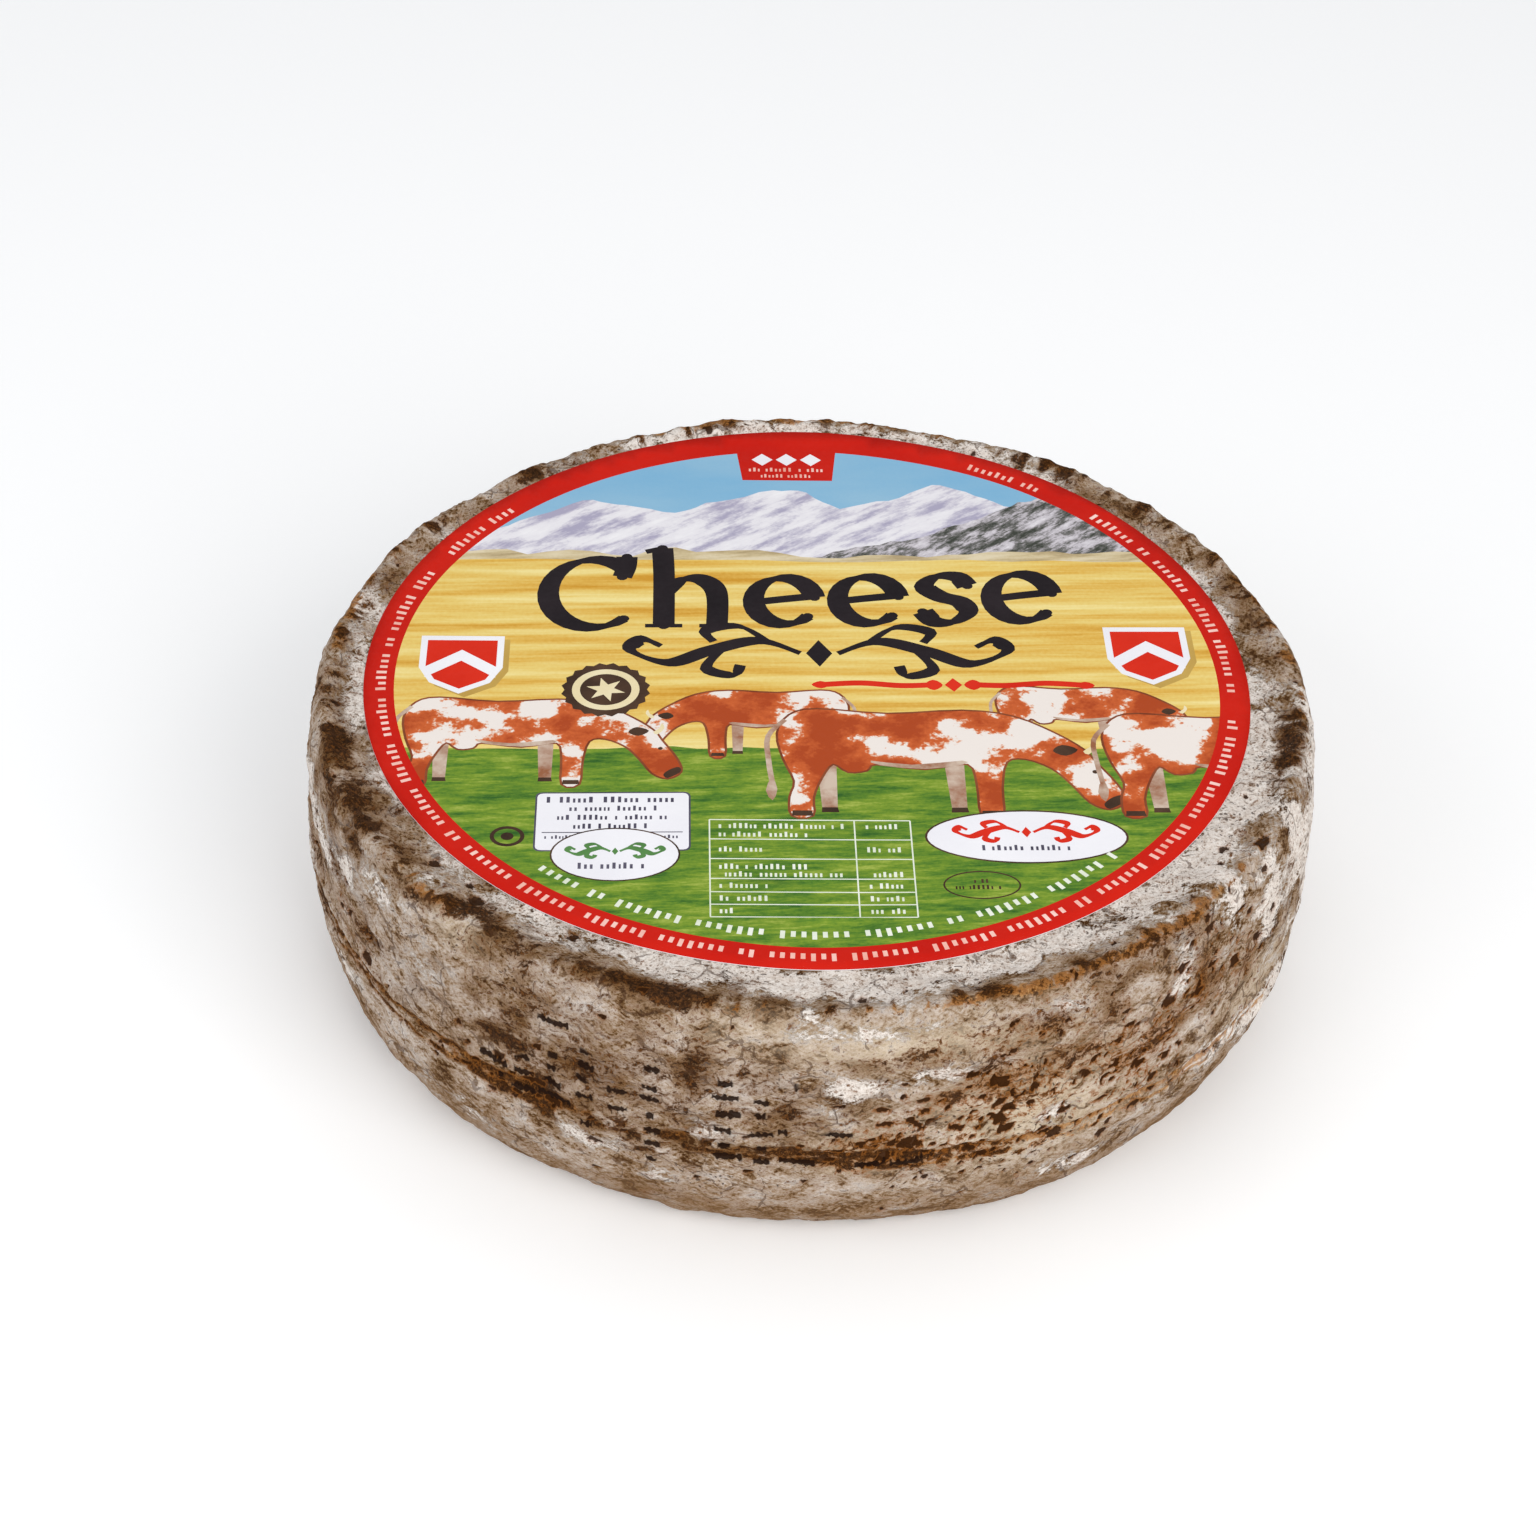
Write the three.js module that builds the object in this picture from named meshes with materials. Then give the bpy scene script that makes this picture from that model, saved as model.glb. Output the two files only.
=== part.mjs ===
// A small mountain cheese wheel with a round paper label stuck to its upper face.
// Millimetres, +Z up. The origin is the middle of the flat base that the wheel rests on.

import * as THREE from 'three';

// Wheel: one pressed and ripened body, its rind grown from the same paste.
const waistRadius = 100; // widest part of the side
const waistHeight = 31; // widest part, above the base
const upperFaceHeight = 55; // flat upper face, above the base
const baseInset = 13; // edge of the flat base, in from the waist
const crestInset = 4.5; // crest of the rim, in from the waist
const rimRise = 2; // crest of the rim, above the upper face
const rimSlopeWidth = 2.5; // inner slope of the rim, from its crest to the flat face

// Fullness of the side's curves, as the reach of each curve's handles.
const lowerHandleOut = 10;
const lowerHandleUp = 20;
const upperHandleUp = 18;
const crestHandleOut = 3;

// Label: a paper disc, set a little off the wheel's own middle.
const labelThickness = 0.25;
const labelOffsetX = -1.1;
const labelOffsetY = 4.6;
const labelRimMargin = 0.75; // least distance from the label's edge to the foot of the rim
const labelSeat = 0.3; // clearance under the label

const wheelSegments = 112;
const labelSegments = 96;
const sideCurveSteps = 12;
const rimCurveSteps = 4;

const crestRadius = waistRadius - crestInset;
const crestHeight = upperFaceHeight + rimRise;
const upperFaceRadius = crestRadius - rimSlopeWidth;

const rind = new THREE.MeshStandardMaterial({ color: 0x9c8a78, roughness: 0.92, metalness: 0 });
const paper = new THREE.MeshStandardMaterial({ color: 0xd8a63c, roughness: 0.6, metalness: 0 });

// A cubic curve's points without its first one, so that curves can follow each other.
function curvePoints(start, handleA, handleB, end, steps) {
  return new THREE.CubicBezierCurve(start, handleA, handleB, end).getPoints(steps).slice(1);
}

// Half section of the wheel, from the base's middle round the side to the upper face's middle.
function wheelProfile() {
  const baseEdge = new THREE.Vector2(waistRadius - baseInset, 0);
  const waist = new THREE.Vector2(waistRadius, waistHeight);
  const crest = new THREE.Vector2(crestRadius, crestHeight);
  const rimFoot = new THREE.Vector2(upperFaceRadius, upperFaceHeight);
  const lowerSide = curvePoints(
    baseEdge,
    new THREE.Vector2(baseEdge.x + lowerHandleOut, 0),
    new THREE.Vector2(waistRadius, waistHeight - lowerHandleUp),
    waist,
    sideCurveSteps,
  );
  const upperSide = curvePoints(
    waist,
    new THREE.Vector2(waistRadius, waistHeight + upperHandleUp),
    new THREE.Vector2(crestRadius + crestHandleOut, crestHeight),
    crest,
    sideCurveSteps,
  );
  const innerSlope = curvePoints(
    crest,
    new THREE.Vector2(crestRadius - rimSlopeWidth / 2, crestHeight),
    new THREE.Vector2(upperFaceRadius + rimSlopeWidth / 2, upperFaceHeight),
    rimFoot,
    rimCurveSteps,
  );
  const baseMiddle = new THREE.Vector2(0, 0);
  const upperMiddle = new THREE.Vector2(0, upperFaceHeight);
  return [baseMiddle, baseEdge, ...lowerSide, ...upperSide, ...innerSlope, upperMiddle];
}

// LatheGeometry turns its profile about Y, so the shape is stood up on +Z.
function turnedMesh(name, profile, segments, material) {
  const geometry = new THREE.LatheGeometry(profile, segments);
  geometry.rotateX(Math.PI / 2);
  const mesh = new THREE.Mesh(geometry, material);
  mesh.name = name;
  return mesh;
}

function makeWheel() {
  return turnedMesh('cheese_wheel', wheelProfile(), wheelSegments, rind);
}

// The label lies on the flat face, inside the foot of the rim all the way round.
function makeLabel() {
  const offCentre = Math.hypot(labelOffsetX, labelOffsetY);
  const labelRadius = upperFaceRadius - offCentre - labelRimMargin;
  const profile = [
    new THREE.Vector2(0, 0),
    new THREE.Vector2(labelRadius, 0),
    new THREE.Vector2(labelRadius, labelThickness),
    new THREE.Vector2(0, labelThickness),
  ];
  const label = turnedMesh('paper_label', profile, labelSegments, paper);
  label.position.set(labelOffsetX, labelOffsetY, upperFaceHeight + labelSeat);
  return label;
}

const cheese = new THREE.Group();
cheese.add(makeWheel(), makeLabel());

export default cheese;
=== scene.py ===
import math

import bmesh
import bpy
from mathutils import Matrix, Vector, geometry, noise


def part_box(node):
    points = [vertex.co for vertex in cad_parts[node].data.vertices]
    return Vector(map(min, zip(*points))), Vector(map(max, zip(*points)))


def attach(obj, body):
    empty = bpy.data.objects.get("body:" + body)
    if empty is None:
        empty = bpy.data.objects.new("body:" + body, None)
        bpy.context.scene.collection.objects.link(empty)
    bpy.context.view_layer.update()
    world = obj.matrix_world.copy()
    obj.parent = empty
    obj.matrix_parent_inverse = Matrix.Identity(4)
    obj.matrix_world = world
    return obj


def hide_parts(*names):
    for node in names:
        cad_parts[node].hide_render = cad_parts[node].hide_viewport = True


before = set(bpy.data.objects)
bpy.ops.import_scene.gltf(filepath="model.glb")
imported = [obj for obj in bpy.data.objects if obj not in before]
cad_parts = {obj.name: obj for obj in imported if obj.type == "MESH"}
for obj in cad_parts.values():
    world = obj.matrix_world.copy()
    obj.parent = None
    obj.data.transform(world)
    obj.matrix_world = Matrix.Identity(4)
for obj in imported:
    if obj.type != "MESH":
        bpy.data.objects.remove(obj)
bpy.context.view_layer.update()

# A whole mountain cheese: a mould-ripened wheel with a printed paper label on its upper face.
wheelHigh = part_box("cheese_wheel")[1]
labelLow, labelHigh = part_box("paper_label")
mm = 0.001

wheel = {
    "waist": wheelHigh.x,
    "waistHeight": 31 * mm,
    "crestHeight": wheelHigh.z,
    "crestInset": 4.5 * mm,  # rim's crest, in from the waist
    "baseInset": 13 * mm,  # edge of the flat base, in from the waist
    "lowerHandles": (10 * mm, 20 * mm),  # fullness of the side: out from the base, down from the waist
    "upperHandles": (18 * mm, 3 * mm),  # up from the waist, out from the crest
    "rimRise": 2.0 * mm,  # crest above the middle of the upper face
    "dishStart": 86 * mm,  # where the upper face begins to climb towards the rim
    "dishOverrun": 2.5 * mm,  # the climb is shaped as if it ended this far past the crest
    "dishSteepness": 1.18,
    "swellHeight": 0.35 * mm,  # broad, shallow unevenness of the upper face
    "swellSize": 38 * mm,
    "columns": 900,  # steps round the wheel
    "wedges": 6,
    "sideStep": 0.85 * mm,  # height of one row of faces on the side
    "bandStep": 0.7 * mm,  # the same on the band between rim and label
    "bandWidth": 13 * mm,
    "baseRings": (0, 30 * mm, 60 * mm, 80 * mm),
    "faceRings": (78 * mm, 70 * mm, 60 * mm, 45 * mm, 30 * mm, 15 * mm, 0),
}
label = {
    "middle": (labelLow + labelHigh) / 2,
    "radius": (labelHigh.x - labelLow.x) / 2,
    "turn": math.radians(2.0),  # the picture's top leans to the left by this much
    "thickness": 0.2 * mm,
    "clearance": 0.06 * mm,
}
print("frame read: wheel", round(wheel["waist"] * 2, 4), "m across")

# Camera, floor and light.
view = {
    "elevation": 38.26,  # degrees above the floor
    "roll": -1.32,  # degrees
    "distance": 0.6525,  # from the label's middle, along the line of sight
    "across": 0.00776,  # the label's middle off the line of sight
    "down": -0.01846,
    "lens": 77.1,
    "sensor": 36,
    "nearest": 0.02,
}
studio = {
    "floorHalf": 4.0,
    "floorTint": (0.9, 0.9, 0.9, 1),
    "floorRoughness": 0.8,
    "floorGlow": 0.14,
    "skyTint": (0.95, 0.97, 1.0, 1),
    "skyStrength": 0.55,
    "lampsFace": (0, 0, 0.03),
    "lamps": [
        # name, place, size, power, colour
        ("keyLamp", (0.55, -0.8, 0.72), 0.8, 8.0, (1.0, 0.985, 0.96)),
        ("fillLamp", (-0.9, -0.6, 0.6), 1.0, 5.0, (0.97, 0.985, 1.0)),
        ("topLamp", (-0.1, 0.45, 1.2), 0.9, 1.8, (1.0, 1.0, 1.0)),
    ],
}


def makeCamera():
    tilt = math.radians(view["elevation"])
    roll = math.radians(view["roll"])
    ahead = Vector((0, math.cos(tilt), -math.sin(tilt)))
    level = Vector((1, 0, 0))
    below = -Vector((0, math.sin(tilt), math.cos(tilt)))
    right = math.cos(roll) * level + math.sin(roll) * below
    down = math.cos(roll) * below - math.sin(roll) * level
    aim = Vector((label["middle"].x, label["middle"].y, labelLow.z))
    place = aim - view["across"] * right - view["down"] * down - view["distance"] * ahead
    camera = bpy.data.objects.new("camera", bpy.data.cameras.new("camera"))
    camera.data.lens = view["lens"]
    camera.data.sensor_width = view["sensor"]
    camera.data.clip_start = view["nearest"]
    turn = Matrix((right, -down, -ahead)).transposed()
    camera.matrix_world = Matrix.Translation(place) @ turn.to_4x4()
    bpy.context.scene.collection.objects.link(camera)
    bpy.context.scene.camera = camera


def makeFloor():
    bm = bmesh.new()
    bmesh.ops.create_grid(bm, x_segments=1, y_segments=1, size=studio["floorHalf"])
    mesh = bpy.data.meshes.new("floor")
    bm.to_mesh(mesh)
    bm.free()
    floor = bpy.data.objects.new("floor", mesh)
    bpy.context.scene.collection.objects.link(floor)
    paint = bpy.data.materials.new("floorPaint")
    paint.use_nodes = True
    shader = paint.node_tree.nodes["Principled BSDF"]
    shader.inputs["Base Color"].default_value = studio["floorTint"]
    shader.inputs["Roughness"].default_value = studio["floorRoughness"]
    shader.inputs["Emission Color"].default_value = (1, 1, 1, 1)
    shader.inputs["Emission Strength"].default_value = studio["floorGlow"]
    mesh.materials.append(paint)


def makeLights():
    for name, place, size, power, tint in studio["lamps"]:
        lamp = bpy.data.lights.new(name, "AREA")
        lamp.size = size
        lamp.energy = power
        lamp.color = tint
        holder = bpy.data.objects.new(name, lamp)
        holder.location = place
        facing = Vector(studio["lampsFace"]) - Vector(place)
        holder.rotation_euler = facing.to_track_quat("-Z", "Y").to_euler()
        bpy.context.scene.collection.objects.link(holder)
    world = bpy.data.worlds.new("studio")
    world.use_nodes = True
    background = world.node_tree.nodes["Background"]
    background.inputs["Color"].default_value = studio["skyTint"]
    background.inputs["Strength"].default_value = studio["skyStrength"]
    bpy.context.scene.world = world
    bpy.context.scene.view_settings.view_transform = "Standard"


makeCamera()
makeFloor()
makeLights()
print("camera, floor and lights set")


# Small helpers for curves and steps.
def smoothStep(low, high, value):
    t = min(1.0, max(0.0, (value - low) / (high - low)))
    return t * t * (3 - 2 * t)


def curvePoints(start, handleA, handleB, end, steps=60):
    points = []
    for i in range(1, steps + 1):
        t = i / steps
        early = start * (1 - t) ** 3 + handleA * 3 * (1 - t) ** 2 * t
        points.append(early + handleB * 3 * (1 - t) * t * t + end * t**3)
    return points


def evenlySpaced(points, step):
    lengths = [0.0]
    for a, b in zip(points, points[1:]):
        lengths.append(lengths[-1] + (b - a).length)
    count = max(2, round(lengths[-1] / step))
    spaced = []
    k = 0
    for i in range(count + 1):
        goal = lengths[-1] * i / count
        while k < len(points) - 2 and lengths[k + 1] < goal:
            k += 1
        part = (goal - lengths[k]) / (lengths[k + 1] - lengths[k])
        spaced.append(points[k].lerp(points[k + 1], min(1.0, part)))
    return spaced


# The wheel's shape.
def upperFace(radius):
    # Height of the upper face: flat in the middle, climbing gently to the rim's crest.
    crest = wheel["waist"] - wheel["crestInset"]
    climb = smoothStep(wheel["dishStart"], crest + wheel["dishOverrun"], radius)
    flat = wheel["crestHeight"] - wheel["rimRise"]
    return flat + wheel["rimRise"] * min(1.0, climb * wheel["dishSteepness"])


def faceSwell(x, y):
    # The label follows this too.
    return wheel["swellHeight"] * noise.noise(Vector((x, y, 0.3)) / wheel["swellSize"])


def wheelProfile():
    baseEdge = Vector((wheel["waist"] - wheel["baseInset"], 0))
    waist = Vector((wheel["waist"], wheel["waistHeight"]))
    crest = Vector((wheel["waist"] - wheel["crestInset"], wheel["crestHeight"]))
    outFromBase, downFromWaist = wheel["lowerHandles"]
    upFromWaist, outFromCrest = wheel["upperHandles"]
    side = [baseEdge]
    side += curvePoints(
        baseEdge, baseEdge + Vector((outFromBase, 0)), waist - Vector((0, downFromWaist)), waist,
    )
    side += curvePoints(
        waist, waist + Vector((0, upFromWaist)), crest + Vector((outFromCrest, 0)), crest,
    )
    band = [crest]
    bandParts = 40
    for i in range(1, bandParts + 1):
        radius = crest.x - i * wheel["bandWidth"] / bandParts
        band.append(Vector((radius, upperFace(radius))))
    rows = [Vector((radius, 0)) for radius in wheel["baseRings"]]
    rows += evenlySpaced(side, wheel["sideStep"])
    rows += evenlySpaced(band, wheel["bandStep"])[1:]
    rows += [Vector((radius, upperFace(radius))) for radius in wheel["faceRings"]]
    return rows


def spinWheel():
    # Each point keeps its distance along the profile from the base's edge, and its surface's lean.
    rows = wheelProfile()
    bm = bmesh.new()
    arcLayer = bm.verts.layers.float.new("arc")
    leanLayer = bm.verts.layers.float.new("lean")
    arc = -rows[len(wheel["baseRings"])].x
    chain = []
    for i, row in enumerate(rows):
        if i:
            arc += (row - rows[i - 1]).length
        along = (rows[min(len(rows) - 1, i + 1)] - rows[max(0, i - 1)]).normalized()
        vert = bm.verts.new((row.x, 0, row.y))
        vert[arcLayer] = arc
        vert[leanLayer] = math.atan2(-along.x, along.y)
        chain.append(vert)
    edges = [bm.edges.new(pair) for pair in zip(chain, chain[1:])]
    # One wedge is spun and then copied round, which is far quicker than one full spin.
    wedges = wheel["wedges"]
    wedgeTurn = 2 * math.pi / wedges
    bmesh.ops.spin(
        bm, geom=chain + edges, cent=(0, 0, 0), axis=(0, 0, 1), angle=wedgeTurn,
        steps=wheel["columns"] // wedges,
    )
    wedge = bm.verts[:] + bm.edges[:] + bm.faces[:]
    for k in range(1, wedges):
        copied = bmesh.ops.duplicate(bm, geom=wedge)["geom"]
        verts = [g for g in copied if isinstance(g, bmesh.types.BMVert)]
        turn = Matrix.Rotation(k * wedgeTurn, 3, "Z")
        bmesh.ops.rotate(bm, cent=(0, 0, 0), matrix=turn, verts=verts)
    bmesh.ops.remove_doubles(bm, verts=bm.verts, dist=0.01 * mm)
    bmesh.ops.recalc_face_normals(bm, faces=bm.faces)
    return bm


# The rind's relief in millimetres.
rindLook = {
    "lumps": 0.62,  # broad swellings
    "knobs": 0.48,  # finger-tip sized
    "wrinkles": 0.30,
    "tooth": 0.10,  # fine roughness
    "creases": 0.45,
    "pitDepth": 0.64,
    "pitCells": ((2.0, 33.0), (3.1, 0.0), (5.2, 17.0)),  # size of a cell and a shift of the pattern
    "pitsElsewhere": 0.012,  # share of the cells with a pit on plain rind
    "pitsWherePitted": 0.62,
    "crestAt": 64.6,  # the crest's height along the side, from the base's edge
    "bandCalm": 1.5,  # the relief grows in over this distance from the label's edge
    "degreeLength": 1.745,  # of one degree round the side
}
# Places on the rind that carry a mark, each with its angle round the wheel in degrees, height along the
# side, half width and half height in mm, and strength.
spots = {
    "bloom": [
        (183, 73, 16, 6, 0.8), (203, 75, 12, 4, 0.6), (192, 52, 7, 4, 0.9), (215, 58, 9, 5, 0.35),
        (181, 44, 6, 6, 1.0), (190, 34, 6, 5, 1.0), (201, 48, 6, 3, 0.9), (185, 20, 8, 4, 1.0),
        (208, 52, 6, 3, 0.7), (206, 24, 6, 3, 0.8), (222, 67, 5, 3, 0.5), (208, 64, 4, 4, 0.5),
        (270, 64, 3, 3, 0.5), (233, 74, 30, 4, 0.45), (262, 74, 30, 5, 0.75), (281, 73, 20, 5, 0.7),
        (300, 75, 20, 5, 0.65), (320, 73, 24, 6, 0.72), (345, 74, 24, 6, 0.85), (225, 49, 8, 5, 0.25),
        (247, 53, 9, 3, 0.2), (259, 36, 5, 4, 0.55), (246, 27, 8, 3, 0.5), (229, 20, 12, 4, 0.4),
        (254, 21, 4, 3, 0.4), (274, 47, 6, 4, 0.75), (283, 50, 8, 2.2, 0.6), (279, 60, 18, 2, 0.35),
        (297, 34, 5, 3, 0.5), (271, 38, 4, 3, 0.35), (296, 57, 6, 3, 0.4), (313, 55, 4, 8, 0.45),
        (322, 60, 5, 9, 0.5), (330, 50, 4, 9, 0.7), (338, 58, 4, 10, 0.75), (346, 45, 5, 10, 0.6),
        (356, 52, 10, 12, 0.6), (318, 28, 12, 3, 0.55), (333, 24, 10, 4, 0.45), (300, 18, 9, 3, 0.45),
        (284, 12, 8, 3, 0.3), (14, 44, 14, 10, 0.6), (40, 56, 16, 6, 0.6), (66, 30, 10, 8, 0.5),
        (92, 50, 14, 5, 0.6), (118, 56, 10, 5, 0.5), (140, 36, 12, 8, 0.55), (163, 54, 12, 7, 0.5),
        (100, 16, 16, 5, 0.4), (30, 16, 14, 5, 0.4), (347, 52, 28, 15, 0.5), (348, 22, 32, 11, 0.6),
        (20, 74, 30, 5, 0.6), (60, 74, 30, 5, 0.65), (100, 75, 30, 5, 0.65), (150, 74, 34, 5, 0.65),
        (75, 67, 30, 3, 0.55), (105, 67, 30, 3, 0.65), (165, 66, 16, 3, 0.4),
    ],
    "stain": [
        (193, 67, 9, 3, 0.5), (206, 71, 5, 5, 0.4), (216, 69, 6, 3, 0.4), (229, 68, 5, 3, 0.75),
        (181, 60, 4, 4, 1.0), (187, 45, 5, 4, 1.1), (196, 41, 6, 3, 1.0), (184, 30, 6, 4, 1.1),
        (199, 32, 6, 2.5, 0.8), (204, 58, 5, 2.5, 0.9), (210, 60, 4, 2, 1.0), (206, 50, 5, 2, 0.8),
        (214, 44, 7, 2.5, 0.8), (222, 62, 6, 1.6, 0.8), (180, 50, 4, 5, 0.8), (200, 62, 6, 2, 0.9),
        (195, 56, 4, 3, 0.7), (193, 24, 6, 3, 0.7), (252, 54, 22, 8, 0.3), (286, 54, 18, 5, 0.3),
        (232, 31.5, 2, 1.1, 1.6), (236, 30.8, 1.7, 1.1, 1.6), (241, 31.6, 2.2, 1.1, 1.7),
        (241.5, 29.3, 2, 1, 1.4), (247.5, 31.4, 1.7, 1.1, 1.4), (251.7, 31, 1.8, 1, 1.4),
        (253, 28, 2.5, 0.9, 1.3), (245, 44, 5, 4, 0.4), (258, 52, 3, 3, 0.5), (264, 50, 4, 2, 0.5),
        (239, 56, 4, 3, 0.5), (268, 43, 3, 3, 0.5), (257, 42, 3, 4, 0.4), (281, 55, 4, 2, 0.6),
        (289, 48, 5, 3, 0.6), (275, 53, 5, 1.5, 0.55), (296, 56, 5, 2.5, 0.6), (291, 58, 6, 2, 0.5),
        (285, 44, 5, 2.5, 0.6), (305, 60, 7, 2, 0.5), (318, 46, 3, 6, 0.5), (336, 50, 3, 7, 0.5),
        (342, 38, 4, 5, 0.5), (351, 52, 3, 7, 0.5), (343, 60, 5, 3, 0.4), (356, 40, 4, 6, 0.45),
        (237, 65, 7, 3, 0.8), (233, 61, 6, 3, 0.45), (251, 66, 7, 2, 0.8), (256, 64, 4, 2.4, 0.9),
        (235.5, 43, 4.6, 1.7, 1.7), (238, 49, 3, 4, 0.5), (233, 52, 4, 3, 0.4), (241, 36, 4, 3, 0.7),
        (266.5, 67, 2.6, 1.6, 0.9), (262, 71, 2, 2, 0.6), (278, 33, 10, 3, 0.45), (287, 29, 12, 2, 0.45),
        (299, 47, 6, 3, 0.5), (303, 55, 3, 4, 0.55), (311, 43, 6, 5, 0.5), (316, 53, 3, 7, 0.55),
        (325, 43, 4, 6, 0.6), (334, 40, 5, 5, 0.4), (306, 39, 6, 4, 0.5), (293, 41, 8, 4, 0.4),
        (349, 68, 14, 2.4, 0.55), (312, 62, 8, 2.6, 0.55), (301, 64, 8, 2.6, 0.5), (255, 15, 12, 4, 0.35),
        (285, 8, 26, 3, 0.3), (20, 66, 12, 3, 0.6), (52, 67, 12, 3, 0.45), (80, 62, 6, 4, 0.6),
        (128, 66, 14, 3, 0.3), (160, 67, 8, 2.5, 0.45), (35, 34, 8, 4, 0.6), (78, 42, 6, 5, 0.6),
        (115, 34, 10, 4, 0.6), (170, 36, 8, 5, 0.5), (150, 46, 5, 3, 0.7), (248, 40, 24, 13, 0.5),
        (272, 38, 16, 9, 0.42), (195, 66, 26, 4, 0.3), (212, 40, 14, 8, 0.2), (300, 45, 16, 8, 0.25),
        (60, 42, 26, 12, 0.25), (135, 42, 26, 12, 0.2),
    ],
    "pitted": [
        (291, 38, 17, 11, 1.0), (279, 33, 12, 6, 0.8), (308, 38, 12, 11, 0.8), (236, 33, 12, 4, 0.7),
        (316, 52, 8, 8, 0.5), (190, 48, 14, 12, 0.35), (210, 42, 8, 8, 0.35), (296, 58, 10, 4, 0.4),
        (325, 46, 8, 12, 0.5), (110, 35, 26, 12, 0.8), (40, 32, 18, 8, 0.5), (165, 30, 20, 6, 0.5),
    ],
    "cream": [
        (280, 57, 20, 4, 0.8), (262, 60, 12, 4, 0.3), (294, 36, 18, 11, 1.0), (275, 33, 8, 5, 0.6),
        (229, 62, 6, 4, 0.5), (110, 35, 26, 12, 0.8), (330, 34, 16, 6, 0.5), (60, 58, 20, 5, 0.8),
    ],
    "grey": [
        (206, 54, 16, 9, 0.9), (222, 42, 14, 7, 0.6), (248, 46, 14, 7, 0.7), (266, 48, 12, 5, 0.6),
        (244, 58, 8, 4, 0.5), (310, 60, 12, 4, 0.4), (20, 40, 20, 9, 0.7), (140, 52, 24, 8, 0.7),
    ],
    "woven": [  # where the mould's weave is pressed in
        (245.5, 39, 9.5, 11, 1.0), (253.7, 38, 2, 13, 1.0), (261.6, 36, 2.6, 11, 1.3),
        (265.5, 36, 4, 11, 1.2), (238, 34, 6, 5, 0.8), (275, 33, 8, 5, 0.6), (20, 38, 22, 10, 0.9),
        (90, 38, 18, 10, 1.0), (152, 38, 16, 9, 0.9),
    ],
}
# Stretches of the crest and of the seam: angle and half width in degrees, strength.
stretches = {
    "crestDark": [
        (196, 9, 0.5), (206, 6, 0.6), (230, 7, 0.75), (247, 9, 0.65), (258, 5, 0.8), (284, 12, 0.3),
        (350, 14, 0.5), (50, 22, 0.45), (130, 22, 0.25),
    ],
    "crestOrange": [
        (222, 6, 0.7), (285, 12, 0.6), (304, 14, 0.85), (322, 9, 0.6), (262, 5, 0.5), (12, 16, 0.7),
        (92, 22, 0.9), (165, 12, 0.6),
    ],
    "seamDark": [
        (196, 8, 0.8), (208, 10, 1.2), (224, 9, 1.0), (238, 6, 1.1), (262, 9, 0.8), (276, 9, 1.2),
        (290, 6, 0.9), (40, 24, 0.8), (120, 26, 0.9),
    ],
    "seamRust": [
        (212, 18, 1.5), (236, 7, 1.2), (278, 16, 0.9), (302, 16, 1.0), (330, 12, 0.6), (80, 40, 0.9),
        (150, 20, 0.8), (10, 14, 0.6),
    ],
}
markNames = ("pit", "crease", "pitted", "bloom", "stain", "cream", "grey", "orange", "woven", "low", "swell")


def degreesApart(angle, other):
    return (angle - other + 180) % 360 - 180


def spotSum(kind, angle, arc, wobble=0.0):
    total = 0.0
    for at, height, wide, high, strength in spots[kind]:
        across = degreesApart(angle, at) * rindLook["degreeLength"]
        if abs(across) < 2.2 * wide and abs(arc - height) < 2.5 * high:
            far = (across / wide) ** 2 + ((arc - height) / high) ** 2
            total += strength * math.exp(-0.9 * far * (1 + wobble))
    return total


def stretchSum(kind, angle):
    return sum(s * math.exp(-(degreesApart(angle, at) / wide) ** 2) for at, wide, s in stretches[kind])


def ridge(offset, half):
    # 1 on a line and falling off over a half width either side of it.
    return math.exp(-(offset / half) ** 2)


def seamHeight(angle):
    # The line that the two halves of the mould leave round the side.
    turn = math.radians(angle)
    return 30.5 + 3.6 * math.cos(turn - 3.55) + 0.7 * math.sin(3 * turn + 1.0)


def noiseAt(p, size, shift=0.0):
    return noise.noise(p / size + Vector((shift, shift, shift)))


def evenChance(p):
    # A number evenly spread from 0 to 1.
    return (noise.noise(p * 9.7) * 7.3) % 1


def pitAt(lying, spread):
    # 1 in the middle of a pit, of which a cell holds one at most.
    deepest = 0.0
    for cell, shift in rindLook["pitCells"]:
        spot = lying / cell + Vector((shift, shift, shift))
        spot += 0.22 * Vector((noiseAt(lying, 1.6, 51), noiseAt(lying, 1.6, 57), noiseAt(lying, 1.6, 63)))
        distances, cores = noise.voronoi(spot)
        if evenChance(cores[0]) < rindLook["pitsElsewhere"] + rindLook["pitsWherePitted"] * spread:
            size = 0.26 + 0.30 * ((noise.noise(cores[0] * 5.3) * 5.1) % 1)
            deepest = max(deepest, 1 - smoothStep(size * 0.4, size, distances[0]))
    return deepest


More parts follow.
